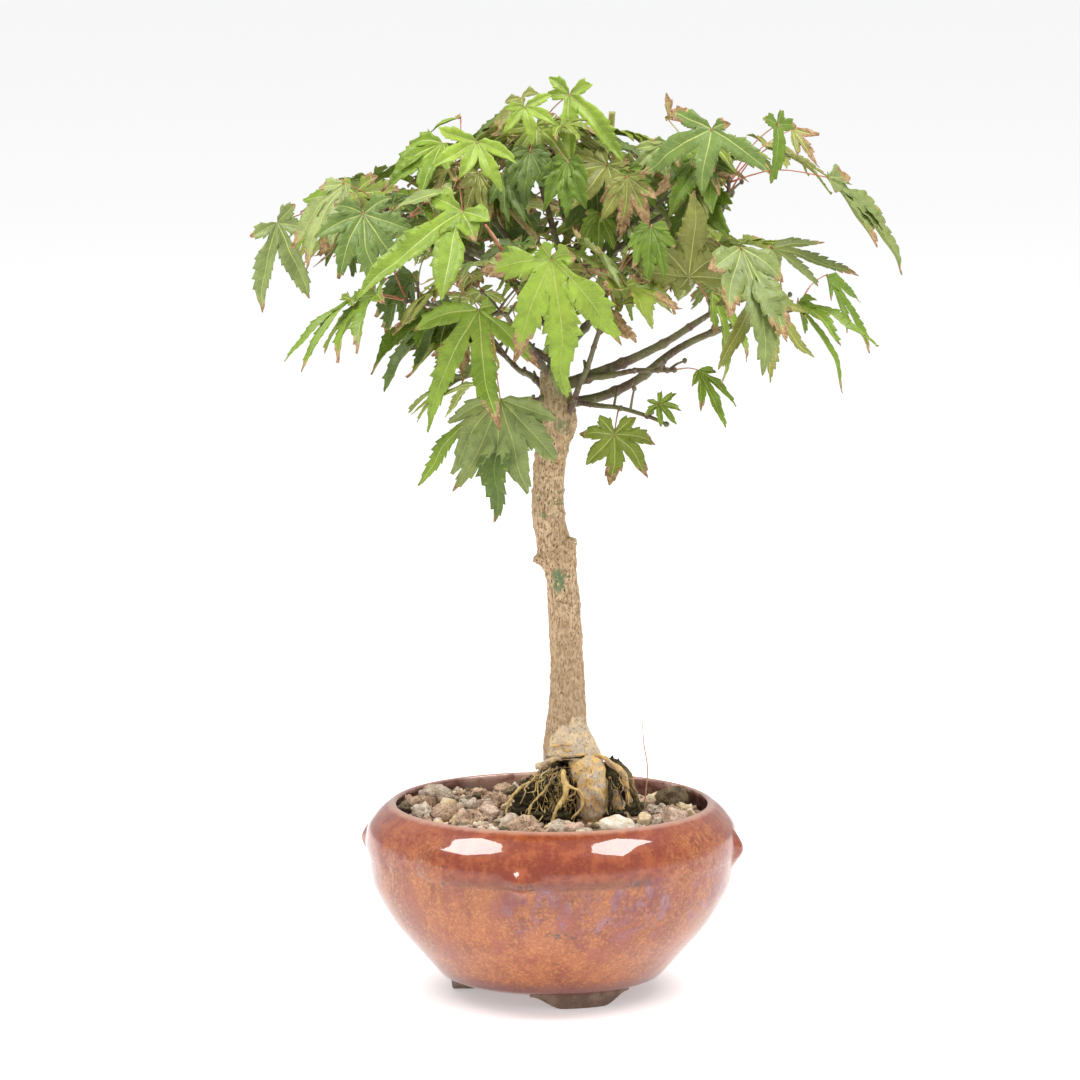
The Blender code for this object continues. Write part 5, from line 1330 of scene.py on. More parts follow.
class Blade:
    """One serrated, veined, lobed blade as a thin closed skin, and the material of each face."""

    def __init__(self, leaf, rng):
        self.leaf = leaf
        self.rng = rng
        self.size = leaf["length"]
        self.flat = []
        self.index = {}
        self.quads = []
        self.plan = []
        self.kinds = []
        self.shift = Vector([rng.uniform(-50, 50) for _ in range(3)])
        self.fold = rng.uniform(0.12, 0.58)
        self.bite = rng.uniform(0.5, 1.15)
        self.lobes = []
        self.breadths = []
        self.middle = [row[0] for row in leaf["lobes"]].index(0)
        for angle, share, *breadth in leaf["lobes"]:
            turn = angle + rng.uniform(-4, 4)
            self.lobes.append((turn, share * rng.uniform(0.94, 1.04) if angle else share))
            self.breadths.append(breadth[0] if breadth else 1.0)
        for number in range(len(self.lobes)):
            self.add_lobe(number)

    def point(self, x, y, up, sag):
        """Index of a flat point; points that two lobes share are made once."""
        key = (round(x, 3), round(y, 3))
        if key not in self.index:
            self.index[key] = len(self.flat)
            self.flat.append((x, y, up, sag))
        return self.index[key]

    def web(self, number):
        """Angle and reach of the web between a lobe and the next one."""
        (one, first), (two, second) = self.lobes[number], self.lobes[number + 1]
        notch = 0.2 + 0.9 * self.leaf["width"] * min(self.breadths[number], self.breadths[number + 1])
        reach = notch * self.size * min(1.0, 1.15 * min(first, second))
        return (one + two) / 2, reach, (two - one) / 2

    def web_ends(self, number, length):
        """Where a lobe's web ends on both of its sides, on the blade's flat plan."""
        angle = self.lobes[number][0]
        ends = []
        for side in (-1, 1):
            neighbour = number - 1 if side < 0 else number
            heading, reach = angle + side * 38.0, 0.2 * length
            if 0 <= neighbour < len(self.lobes) - 1:
                heading, reach, half = self.web(neighbour)
                if abs(half) > 60.0:
                    heading, reach = angle + side * 45.0, min(reach, 0.16 * length)
            ends.append(flat_heading(heading) * reach)
        return ends

    def lobe_rows(self, angle, length, ends, wide, web_share):
        """Rows of a lobe on its flat plan: how far along, both edges, and where in a tooth."""
        ahead = flat_heading(angle)
        across = Vector((-ahead.y, ahead.x))
        row_step = min(max(0.022 * self.size, ROW_STEP[0]), ROW_STEP[1])
        steps = 4 * max(2, round(length * (1.0 - web_share) / row_step / 4))
        rows = []
        for k in range(WEB_STEPS + 1):
            rows.append((web_share * k / WEB_STEPS, [end * k / WEB_STEPS for end in ends], 0.0))
        jag = [self.bite * self.rng.choice(JAGS) for _ in range(steps + 1)]
        for step in range(1, steps + 1):
            at = web_share + (1.0 - web_share) * step / steps
            grown = smoothstep(web_share + 0.04, web_share + 0.26, at)
            edges = []
            for k, side in enumerate((-1, 1)):
                out, lean = TOOTH_ROWS[(step + 2 * k) % 4]
                bite = grown * jag[(step + 2 * k) // 4 * 4 % steps]
                half = lobe_width(at, web_share, abs(across.dot(ends[k])), wide) * (1.0 + out * bite)
                lean *= min(bite, 1.0) * length * (1.0 - web_share) / steps
                edges.append(ahead * (at * length + lean) + across * side * half)
            if step == steps:
                edges = [ahead * length - across * 0.06, ahead * length + across * 0.06]
            rows.append((at, edges, math.cos(math.tau * (step - 1.5) / 4)))
        return rows

    def lobe_looks(self, angle, length):
        """How a lobe bends, sags, dries, curls and twists."""
        rng, dryness = self.rng, self.leaf["dry"]
        bend = rng.uniform(-0.13, 0.13) if angle else rng.uniform(-0.05, 0.05)
        sag = (0.03 if abs(angle) < 6 else rng.uniform(0.0, 0.24)) * length
        dry = dryness * rng.choice((0.0, 0.3, 0.8, 1.3) if dryness < 0.3 else (0.9, 1.1))
        curl = rng.uniform(-0.3, 1.0) * min(dry + 0.06, 0.4)
        twist = rng.uniform(-0.55, 0.55) * (1.0 if angle else 0.3)
        return bend, sag, dry, curl, twist

    def add_lobe(self, number):
        angle, share = self.lobes[number]
        length = self.size * share
        ahead = flat_heading(angle)
        across = Vector((-ahead.y, ahead.x))
        wide = self.leaf["width"] * self.size * (0.55 + 0.45 * share) * self.breadths[number]
        ends = self.web_ends(number, length)
        web_share = min(max(sum(ahead.dot(end) for end in ends) / (2 * length), 0.08), 0.45)
        bend, sag, dry, curl, twist = self.lobe_looks(angle, length)
        rows = self.lobe_rows(angle, length, ends, wide, web_share)
        colours = self.leaf["colour"].split("/")
        if number != self.middle:
            colours = colours[:1]
        previous = None
        for at, edges, wave in rows:
            free = max(0.0, (at - web_share) / (1.0 - web_share))
            slide = across * bend * length * free * free
            middle = ahead * at * length
            reaches = [(edge - middle).length for edge in edges]
            vein = min(VEIN_HALF * (1.1 - 0.8 * at), 0.3 * min(reaches) + 0.01)
            spots = [edges[0], middle.lerp(edges[0], 0.5), middle - across * vein,
                     middle + across * vein, middle.lerp(edges[1], 0.5), edges[1]]
            ripple = RIPPLE * wide * wave
            turned = twist * free * free
            right, left = (self.fold - turned) * reaches[0], (self.fold + turned) * reaches[1]
            ups = [right - ripple, 0.5 * right + ripple, VEIN_UP,
                   VEIN_UP, 0.5 * left + ripple, left - ripple]
            flat = [(spot.dot(ahead), spot.dot(across)) for spot in spots]
            if previous:
                row = [self.point(*(spot + slide), up + curl * length * free ** 3, sag * free * free)
                       for spot, up in zip(spots, ups)]
                self.join(previous, (row, flat), at, 1.0 - dry, colours)
            else:
                row = [self.point(0.0, 0.0, 0.0, 0.0)] * 6
            previous = (row, flat)

    def join(self, before, after, at, dry_from, colours):
        """Faces between two rows of a lobe."""
        # past TIP_FROM the middle lobe takes the second, darker colour: partly painted shade
        colour = colours[-1] if at > TIP_FROM else colours[0]
        for k in range(5):
            corners = [(before, k), (after, k), (after, k + 1), (before, k + 1)]
            face, places = [], []
            for (row, flat), i in corners:
                if row[i] not in face:
                    face.append(row[i])
                    places.append(flat[i])
            if len(face) < 3:
                continue
            kind = colour
            scorch = at + self.rng.uniform(-0.02, 0.02) + SCORCH[k] * (1.0 - dry_from)
            if dry_from < 0.99 and scorch > dry_from:
                kind = "dry_end"
            elif dry_from < 0.97 and scorch > dry_from - 0.035:
                kind = "tan"
            elif k == 2:
                # dark and deep leaves take the darker vein, so it too is partly painted shade
                kind = "vein_dark" if colour in ("dark", "deep") else "vein"
            self.quads.append(tuple(face))
            self.plan.append(places)
            self.kinds.append(kind)

    def middles(self):
        """The flat points folded, bowed and sagging in their place, rippled by noise."""
        leaf = self.leaf
        ahead, up = leaf["along"], leaf["face"]
        left = up.cross(ahead)
        places = []
        for x, y, rise, sag in self.flat:
            rise += arch(math.hypot(x, y), self.size)
            place = leaf["at"] + ahead * x + left * y + up * rise
            place.z -= sag
            reach = min(math.hypot(x, y) / self.size, 1.0)
            push = noise.noise_vector(Vector((x, y, 0)) / (0.3 * self.size) + self.shift)
            places.append(place + push * 0.07 * self.size * reach)
        return places

    def solid(self):
        """Points, faces and materials of the closed skin, and its flat plan."""
        middles = self.middles()
        normals = [Vector((0, 0, 0)) for _ in middles]
        for face in self.quads:
            a, b, c = (middles[i] for i in face[:3])
            turn = (b - a).cross(c - b)
            for i in face:
                normals[i] += turn
        up = self.leaf["face"]
        offsets = [(normal.normalized() if normal.length else up) * LEAF_SKIN / 2 for normal in normals]
        points = [place + offset for place, offset in zip(middles, offsets)]
        points += [place - offset for place, offset in zip(middles, offsets)]
        count = len(middles)
        faces, kinds, plan = list(self.quads), list(self.kinds), list(self.plan)
        used = {}
        for face, places, kind in zip(self.quads, self.plan, self.kinds):
            faces.append(tuple(i + count for i in reversed(face)))
            plan.append(places[::-1])
            kinds.append(kind + "_under" if kind in LEAF_COLOURS else kind)
            for edge in zip(face, face[1:] + face[:1]):
                used[edge] = kind
        for (a, b), kind in used.items():
            if (b, a) not in used:
                faces.append((b, a, a + count, b + count))
                plan.append([(0.0, 0.0)] * 4)
                kinds.append(kind)
        return (points, faces), kinds, plan


def make_leaves(masses):
    """The leaves of each mass as one piece, and all their stalks as another."""
    stalks = Piece("leaf_stalks")
    for number, (name, mass) in enumerate(masses.items()):
        piece = Piece(name.replace("foliage", "leaves"))
        rng = random.Random(BLADE_SEED + number)
        for leaf in mass["leaves"]:
            piece.add(*Blade(leaf, rng).solid())
            kind = rng.choice(("stalk_red", "stalk_red", "stalk_pink", "stalk_green"))
            start, *between, joint = leaf["stalk"][:-1]
            bend = between[0] if between else start.lerp(joint, 0.5)
            bend = bend + Vector([rng.uniform(-0.8, 0.8) for _ in range(3)])
            end = leaf["at"] + leaf["along"] * 1.2 + leaf["face"] * 0.1
            stalks.add(tube([start, bend, joint, end], FINE_STALK_RADII, 6), kind)
        piece.make([name])
    stalks.make([])


# a red shoot and pale cut stubs that the photo shows in the crown: points, radii, material
SHOOTS = (
    (((-15.5, -40.0, 296.0), (-18.0, -44.0, 303.0), (-21.0, -46.0, 311.0), (-26.5, -44.0, 319.0)),
     (0.6, 0.8, 0.75, 0.5), "stalk_red"),
    (((-6.0, -14.0, 310.0), (-10.8, -22.0, 316.4), (-14.6, -23.0, 320.6), (-18.4, -24.0, 323.9)),
     (1.3, 1.6, 1.5, 1.6), "stalk_green"),
    (((23.0, 2.0, 344.0), (23.6, 0.0, 352.0), (24.2, -1.0, 359.5)), (1.1, 1.3, 1.4), "stalk_green"),
)


def make_twigs(masses):
    """Stems and side twigs, with a swollen node at each end."""
    twigs = Piece("twigs")
    for mass in masses.values():
        stem, radii = mass["stem"]
        back = stem[0] - (stem[1] - stem[0]).normalized() * 2.0
        twigs.add(tube([back] + stem, [radii[0]] + radii, 8), "bough")
        for share in (0.33, 0.66, 1.0):
            spot = along(stem, share)
            twigs.add(lump(spot, (1.15, 1.15, 1.3), 2, 0.2, 1.2, share * 9 + spot.x), "bough")
        for path, thick in mass["twigs"]:
            twigs.add(tube(path, thick, 7), "bough")
            twigs.add(lump(path[-1], (0.95, 0.95, 1.2), 2, 0.2, 1.2, path[-1].x), "bough")
    for line, thick, kind in SHOOTS:
        twigs.add(gnarled(tube(vectors(line), thick, 10), 2.0, 0.25, line[0][0]), kind)
    twigs.make([])


# ---- trunk, boughs and roots -----------------------------------------------------------------

BOUGH_SEED = 60
TRUNK_AROUND = 112
TRUNK_STEP = 0.55
# the cut stub of a limb at the trunk's crook
STUB = ((4.0, -3.0, 181.0), (7.0, -4.6, 184.4), (8.7, -5.2, 186.0))
STUB_CUT = (8.5, -5.2, 185.9)
# knots and scars of the trunk: azimuth, height, half width, half height, how far out
KNOTS = (
    (58.0, 179.0, 3.4, 5.4, 1.5),
    (-62.0, 178.0, 2.8, 2.4, 1.8),
    (-48.0, 173.4, 4.0, 1.8, -0.9),
    (8.0, 186.5, 1.4, 6.5, -0.8),
    (-34.0, 185.0, 1.3, 5.0, -0.7),
    (22.0, 176.0, 3.0, 2.0, -0.6),
    (70.0, 232.0, 3.4, 5.0, 1.6),
    (150.0, 205.0, 3.2, 3.6, 1.3),
    (215.0, 168.0, 3.0, 3.4, 1.4),
    (-86.0, 216.0, 2.4, 1.6, 0.7),
)
SCAR_RINGS = (128.0, 146.0, 158.5, 171.0, 196.5, 206.0, 221.0, 238.0)
# surface roots that flare from the trunk's foot: azimuth, share of the full rise
FLARE_ROOTS = (
    (-78.0, 1.0), (-45.0, 0.5), (66.0, 1.3), (104.0, 1.5), (150.0, 1.4), (200.0, 1.5), (245.0, 1.2),
)
FLARE_HEIGHT = 108.0
# keeps the bark's plates from repeating its streaks
PLATES_SHIFT = Vector((40.0, 0.0, 0.0))
# hollows of the root base: azimuth from, to, height below which they open, how deep
HOLLOWS = ((-74.0, 10.0, 96.5, 6.0), (58.0, 84.0, 93.0, 5.0))


def turned_from(turn, azimuth):
    """Degrees from one azimuth to another, -180 to 180."""
    return (azimuth - turn + 180.0) % 360.0 - 180.0


def hollow_share(azimuth, height):
    """How deep in one of the root base's hollows a place lies, and how deep that hollow is."""
    for start, end, top, depth in HOLLOWS:
        inside = smoothstep(start, start + 12.0, azimuth) * (1.0 - smoothstep(end - 12.0, end, azimuth))
        share = inside * smoothstep(top + 1.5, top - 2.5, height)
        if share > 0.0:
            return share, depth
    return 0.0, 0.0


def bark_depth(place, azimuth, height):
    """How far the bark stands out of the smooth trunk at a place."""
    streak = noise.noise(Vector((place.x * 0.62, place.y * 0.62, height * 0.16)))
    plates = noise.noise(Vector((place.x * 1.3, place.y * 1.3, height * 0.42)) + PLATES_SHIFT)
    grain = noise.noise(Vector((place.x * 2.7, place.y * 2.7, height * 1.5)))
    depth = 0.42 * streak + 0.26 * plates + 0.12 * grain
    for ring in SCAR_RINGS:
        tilt = 1.2 * math.sin(math.radians(azimuth) + ring)
        depth += 0.3 * math.exp(-((height - ring - tilt) / 0.8) ** 2)
    for turn, at, wide, high, raise_by in KNOTS:
        aside = math.radians(turned_from(turn, azimuth)) * 7.0
        reach = (aside / wide) ** 2 + ((height - at) / high) ** 2
        if reach < 6.0:
            depth += raise_by * math.exp(-reach) * (1.0 - 0.5 * math.exp(-reach * 5.0))
    flare = smoothstep(FLARE_HEIGHT, 78.0, height)
    for turn, raise_by in FLARE_ROOTS:
        away = turned_from(turn, azimuth) / 15.0
        depth += flare * 2.6 * raise_by * math.exp(-away * away)
    share, deep = hollow_share(azimuth, height)
    return depth - share * (deep + 1.5 * plates)


def trunk_at(line, radii, height):
    """Middle and radius of the smooth trunk at a height."""
    upper = max(next(k for k, place in enumerate(line) if place.z >= height), 1)
    low, high = line[upper - 1], line[upper]
    share = (height - low.z) / (high.z - low.z)
    return low.lerp(high, share), radii[upper - 1] + (radii[upper] - radii[upper - 1]) * share


def make_trunk(limbs):
    """The trunk with its bark in relief, from the soil to the fork."""
    line, radii = limbs["trunk"]
    line, radii = smooth_path(line, 8), smooth_values(radii, 8)
    foot, top = SOIL_TOP - 2.0, line[-1].z
    rows = int((top - foot) / TRUNK_STEP)
    azimuths = [360.0 * k / TRUNK_AROUND for k in range(TRUNK_AROUND)]
    azimuths = [azimuth if azimuth <= 180.0 else azimuth - 360.0 for azimuth in azimuths]
    points, kinds = [], []
    for i in range(rows + 1):
        height = min(foot + TRUNK_STEP * i, top)
        middle, radius = trunk_at(line, radii, height)
        radius -= 2.4 * smoothstep(100.0, 84.0, height)
        for azimuth in azimuths:
            out = polar(azimuth)
            place = Vector((out.x * radius, out.y * radius, height))
            grown = radius + bark_depth(place, azimuth, height) - 0.2
            points.append(Vector((middle.x, middle.y, height)) + out * grown)
            if i < rows:
                # faces deep in a hollow take the near-black root wood: painted shade
                deep = hollow_share(azimuth, foot + TRUNK_STEP * i)[0] > 0.35
                kinds.append("root_dark" if deep else "bark")
    faces = ring_quads(rows + 1, TRUNK_AROUND)
    faces.append(tuple(range(TRUNK_AROUND))[::-1])
    points.append(Vector((middle.x, middle.y, top + 1.2)))
    for k in range(TRUNK_AROUND):
        a, b = rows * TRUNK_AROUND + k, rows * TRUNK_AROUND + (k + 1) % TRUNK_AROUND
        faces.append((a, b, len(points) - 1))
    piece = Piece("trunk_bark")
    piece.add((points, faces), kinds + ["bark"] * (TRUNK_AROUND + 1))
    burl = lump((5.6, -3.4, 181.4), (4.2, 3.9, 5.0), 5, 0.22, 1.8, 4.0)
    piece.add(gnarled(burl, 0.9, 0.25, 3), "bark")
    piece.add(gnarled(tube(vectors(STUB), (3.0, 2.6, 2.2), 22, 6), 0.9, 0.3, 5), "bark")
    piece.add(lump(STUB_CUT, (1.7, 1.7, 1.3), 4, 0.2, 1.6, 6.0), "cut_wood")
    knob = lump((-4.9, -3.4, 178.2), (2.7, 3.0, 1.9), 4, 0.3, 1.8, 8.0)
    piece.add(gnarled(knob, 0.9, 0.3, 7), "bark")
    piece.make(["trunk"])


def make_boughs(limbs):
    """Every bough with nodes, kinks and young bark in relief; its root sinks into its parent."""
    for number, (name, row) in enumerate(LIMBS.items()):
        path, radii = limbs[name]
        rng = random.Random(BOUGH_SEED + number)
        line, thick = smooth_path(path, 14), smooth_values(radii, 14)
        nodes = [rng.uniform(0.18, 0.3), rng.uniform(0.42, 0.56), rng.uniform(0.68, 0.8), 0.97]
        swollen = []
        for i, radius in enumerate(thick):
            share = i / (len(thick) - 1)
            near_node = max(math.exp(-((share - node) / 0.018) ** 2) for node in nodes)
            collar = 0.9 * math.exp(-(share / 0.07) ** 2)
            swollen.append(radius * (0.94 + 0.28 * near_node + collar * (row[0] == "trunk") * 0.7))
        shell = gnarled(ring_shell(line, swollen, 20), 1.4, 0.16, number)
        piece = Piece(name.replace("bough", "limb"))
        piece.add(shell, "bough")
        for node in nodes[:3]:
            spot = along(line, node)
            aside = polar(rng.uniform(0, 360), rng.uniform(10, 70))
            stub = [spot, spot + aside * 2.2, spot + aside * rng.uniform(3.0, 4.2)]
            piece.add(gnarled(tube(stub, [1.0, 0.8, 0.45], 8), 1.0, 0.12, number + node), "bough")
        piece.make([name])


# ridges over the front of the root base: (x, height) of each point, radii, how far out, material, seed
RIDGES = (
    (((1.6, 99.0), (6.0, 98.6), (10.5, 98.8), (15.0, 98.9), (18.0, 98.9)),
     (0.5, 0.7, 0.55, 0.6, 0.7), 0.0, "root_ochre", 1),
    (((1.0, 98.0), (5.0, 97.6), (10.0, 97.9), (15.0, 98.0), (18.5, 97.8)),
     (0.3, 0.35, 0.35, 0.35, 0.3), 0.25, "root_dark", 3),
    (((-1.0, 101.0), (2.0, 102.6), (5.0, 103.6), (8.2, 102.9)),
     (0.3, 0.8, 0.9, 0.3), -0.35, "root_ochre", 2),
    (((2.6, 101.2), (6.0, 100.8), (10.0, 100.4)), (0.3, 0.7, 0.3), -0.3, "root_ochre", 5),
)
# where the cut root ends
CUT_END = (-5.6, -12.4, 94.6)
# thicker roots of the base: points, radii, material, seed
ROOT_LINES = (
    (((17.6, -9.0, 98.9), (20.8, -8.6, 97.5), (23.4, -8.0, 95.2), (26.5, -7.4, 92.8),
      (29.1, -7.0, 90.0), (30.4, -7.0, 84.0), (32.4, -6.4, 76.0), (34.6, -6.0, 70.0)),
     (0.7, 1.0, 1.2, 1.4, 1.5, 1.2, 1.1, 0.8), "root_ochre", 15),
    (((26.0, -5.0, 94.0), (30.0, -4.6, 90.6), (32.4, -4.4, 85.0), (34.6, -3.6, 77.0), (37.6, -3.0, 70.0)),
     (1.4, 1.9, 1.6, 1.3, 0.8), "root_skirt", 17),
    (((4.0, -9.8, 97.4), (0.6, -10.6, 97.2), (-2.6, -11.4, 96.0), CUT_END),
     (0.9, 1.0, 1.0, 1.3), "root_ochre", 4),
    (((5.0, -12.0, 92.5), (4.6, -15.0, 90.5), (5.8, -17.0, 86.6), (5.0, -17.6, 82.5),
      (1.8, -18.4, 78.0), (-0.6, -19.0, 71.0)),
     (1.0, 1.2, 1.2, 1.0, 0.75, 0.5), "root_yellow", 6),
    (((5.6, -16.8, 87.6), (9.0, -17.6, 86.4), (12.0, -18.0, 84.4), (12.0, -18.4, 78.5), (7.6, -18.8, 74.0)),
     (0.75, 0.7, 0.65, 0.55, 0.35), "root_yellow", 8),
    (((-4.0, -11.0, 91.0), (-9.0, -12.0, 88.0), (-14.6, -13.0, 84.0), (-18.0, -14.0, 78.0),
      (-18.6, -15.0, 72.0)),
     (0.5, 0.6, 0.55, 0.45, 0.3), "root_yellow", 10),
    (((-1.0, -12.0, 88.0), (-4.0, -15.0, 84.0), (-8.6, -16.6, 79.0), (-10.0, -18.0, 71.0)),
     (0.45, 0.5, 0.45, 0.3), "root_yellow", 12),
    (((22.6, -12.0, 90.0), (23.6, -13.0, 84.0), (23.4, -14.0, 77.0), (24.0, -15.0, 71.0)),
     (0.5, 0.6, 0.6, 0.4), "root_dark", 14),
)
# roots round the back: azimuth, how far they spread, thickness
BACK_ROOTS = (
    (66.0, 26.0, 2.4), (104.0, 27.0, 2.6), (136.0, 22.0, 2.2), (158.0, 25.0, 2.6),
    (190.0, 24.0, 2.4), (214.0, 25.0, 2.6), (246.0, 23.0, 2.2), (-80.0, 22.0, 2.0),
)
# the near-black lumps of the root base, partly dark earth and skirt, partly painted shade in its left
# hollow and right gap: centre, half size, detail, roughness, its size, seed
ROOT_LUMPS = (
    ((23.6, -2.6, 87.5), (5.4, 6.4, 7.4), 4, 0.22, 2.8, 15.0),
    ((2.0, -3.4, 84.0), (7.4, 6.0, 9.5), 5, 0.4, 2.6, 7.0),
    ((-5.0, -5.0, 79.0), (9.4, 7.6, 8.6), 5, 0.5, 2.8, 5.0),
    ((-2.0, -6.0, 73.5), (15.0, 11.0, 5.6), 5, 0.4, 3.0, 11.0),
    ((25.6, -1.5, 82.0), (6.4, 7.0, 11.5), 5, 0.4, 2.8, 9.0),
    ((27.6, -3.0, 74.0), (9.0, 9.0, 5.6), 5, 0.4, 2.8, 13.0),
)
ROOT_SEED = 5
FLAKES = 26
FLAKE_KINDS = ("root_skirt", "root_ochre", "root_burr")
ROOTLETS = 400
ROOTLET_RADII = (0.12, 0.14, 0.16, 0.2, 0.24, 0.32)
ROOTLET_KINDS = ("root_yellow", "root_pale", "root_dark", "root_ochre", "root_dark")
# where rootlets hang: up to which share of them, then from and to for where they start (x, y, z),
# which way they grow (x, y) and how far they fall
ROOTLET_PLACES = (
    (0.72, (-5.0, 10.0), (-11.0, -7.0), (76.0, 94.0), (-1.3, 0.35), (-1.0, -0.2), (2.0, 16.0)),
    (0.86, (21.5, 28.0), (-9.0, -5.0), (77.0, 92.0), (-0.2, 0.8), (-1.0, 0.2), (4.0, 14.0)),
)
TRUNK_FOOT = Vector((8.7, -0.5, 0.0))


def front_of_trunk(limbs, x, height, out):
    """A place on the front of the smooth trunk, or a little out of it."""
    line, radii = limbs["trunk"]
    middle = at_height(line, height)
    near = min(range(len(line)), key=lambda i: abs(line[i].z - height))
    radius = radii[near] + out
    aside = min(abs(x - middle.x), 0.96 * radius)
    return Vector((x, middle.y - math.sqrt(radius * radius - aside * aside), height))


def make_roots(limbs):
    """The root base: a thick cracked burr, thin ridges across it, near-black lumps that are dark earth and
    painted shade in its left hollow and right gap, a mossy skirt on its right, surface roots round the
    back, and dry flakes."""
    piece = Piece("root_base")
    rng = random.Random(ROOT_SEED)
    burr = lump((16.2, -8.8, 83.0), (6.4, 8.2, 14.0), 5, 0.08, 1.4, 8.0)
    piece.add(gnarled(gnarled(burr, 4.2, 1.0, 9), 1.5, 0.4, 19), "root_burr")
    top = lump((14.2, -6.6, 92.0), (7.6, 7.6, 7.4), 4, 0.1, 1.6, 6.0)
    piece.add(gnarled(top, 1.8, 0.5, 29), "root_burr")
    # near-black lumps: dark earth, and painted shade in the hollow and the gap at the right
    for row in ROOT_LUMPS:
        piece.add(lump(*row), "root_dark")
    for line, thick, out, kind, seed in RIDGES:
        points = [front_of_trunk(limbs, x, height, out) for x, height in line]
        piece.add(gnarled(tube(points, thick, 12, 7), 1.8, 0.45, seed), kind)
    for line, thick, kind, seed in ROOT_LINES:
        piece.add(gnarled(tube(vectors(line), thick, 14, 7), 2.2, 0.55, seed), kind)
    piece.add(lump(CUT_END, (1.3, 1.4, 1.4), 4, 0.2, 1.5, 2.0), "cut_wood")
    for k, (azimuth, spread, thick) in enumerate(BACK_ROOTS):
        falls = ((6.0, 98.0), (spread * 0.55, 86.0), (spread * 0.82, 76.0), (spread, 69.5))
        path = [TRUNK_FOOT + polar(azimuth) * reach + Vector((0, 0, z)) for reach, z in falls]
        root = tube(path, [thick, thick * 1.2, thick, thick * 0.5], 14, 8)
        piece.add(gnarled(root, 3.4, 1.1, k + 20), "root_skirt" if k % 3 else "root_ochre")
    for k in range(FLAKES):
        place = Vector((rng.uniform(24.0, 33.0), rng.uniform(-8.0, 4.0), 0.0))
        place.z = 98.0 - 1.1 * (place.x - 20.0) - rng.uniform(0.0, 8.0)
        out = polar(rng.uniform(30.0, 110.0), rng.uniform(-30.0, 40.0))
        flake = [place - out * 2.0, place, place + out * rng.uniform(0.8, 1.9)]
        shell = gnarled(tube(flake, [0.5, 0.7, 0.12], 7), 1.0, 0.3, k + 70)
        piece.add(shell, rng.choice(FLAKE_KINDS))
    piece.make([])
    make_rootlets(rng)


def make_rootlets(rng):
    """Fine rootlets in the root base's hollow, down its skirt and round its back."""
    fibres = Piece("rootlets")
    for k in range(ROOTLETS):
        row = next((row for row in ROOTLET_PLACES if k < row[0] * ROOTLETS), None)
        if row:
            start = Vector([rng.uniform(*span) for span in row[1:4]])
            out = Vector([rng.uniform(*span) for span in row[4:6]] + [0.0])
            fall = rng.uniform(*row[6])
        else:
            start = Vector((8.0, -1.0, 0.0)) + polar(rng.uniform(100.0, 265.0)) * 16.0
            start.z = rng.uniform(76.0, 84.0)
            out = (start - Vector((8.0, -1.0, start.z))).normalized()
            fall = rng.uniform(4.0, 12.0)
        end = start + out * rng.uniform(3.0, 11.0)
        end.z = max(start.z - fall, 70.5)
        path = [start]
        for share in (0.25, 0.5, 0.75):
            wild = Vector([rng.uniform(-1.6, 1.6) for _ in range(3)])
            path.append(start.lerp(end, share) + wild + out * 1.4 * math.sin(math.pi * share))
        thick = rng.choice(ROOTLET_RADII)
        kind = rng.choice(ROOTLET_KINDS)
        radii = [thick, thick, thick, thick * 0.8, thick * 0.5]
        fibres.add(tube(path + [end], radii, 4, 3), kind)
    fibres.make([])


# ---- bowl, feet, soil ------------------------------------------------------------------------


# the spacing of the outer wall's rows
BOWL_STEP = 1.1


def bowl_profile():
    """(radius, height) from inside the bowl's floor, over the lip and down to the base."""
    inner = [Vector((radius, height, 0)) for radius, height in BOWL_INSIDE]
    outer = [Vector((radius, height, 0)) for radius, height in BOWL_OUTSIDE]
    rows = smooth_path(inner + outer[:1], 6)[:-1]
    for i, (start, end) in enumerate(zip(outer, outer[1:])):
        steps = max(3, int((end - start).length / BOWL_STEP))
        straight = i == len(outer) - 2
        for k in range(steps):
            rows.append(start.lerp(end, k / steps) if straight else spline(outer, i, k / steps))
    return [(row.x, row.y) for row in rows + outer[-1:]]


def bowl_raise(angle, height):
    """How far a panel or a button lifts the wall, at an angle from the nearest button. The front
    and back panels have a ledge below; the wall between them runs smoothly."""
    away = (angle + 45.0) % 90.0 - 45.0
    aside = abs((angle + 90.0) % 180.0 - 90.0) > 45.0
    share, ledge, crease, centre, half, out, blunt = SIDE_PANEL if aside else FRONT_PANEL
    panel = 1.0 - smoothstep(PANEL_HALF - 6.0, PANEL_HALF + 2.5, abs(away))
    lift = PANEL_RAISE * share * panel * smoothstep(*ledge, height)
    lift *= 1.0 - smoothstep(66.5, 73.5, height)
    kink = CREASE_STEP * smoothstep(56.2, 57.7, height) * (1.0 - smoothstep(57.7, 62.0, height))
    lift -= kink * (1.0 - crease * panel)
    across = math.radians(away) * BODY_RADIUS / half[0]
    reach = math.hypot(across, (height - centre) / half[1])
    if reach < 1.0:
        cone = (math.hypot(1.0, blunt) - math.hypot(reach, blunt)) / (math.hypot(1.0, blunt) - blunt)
        lift = max(lift, out * cone + lift * reach)
    corner = math.radians(abs(away) - PANEL_HALF) * BODY_RADIUS / 1.6
    dimple = math.hypot(corner, (height - 57.0) / 1.3)
    return lift - 0.9 * math.exp(-dimple * dimple)


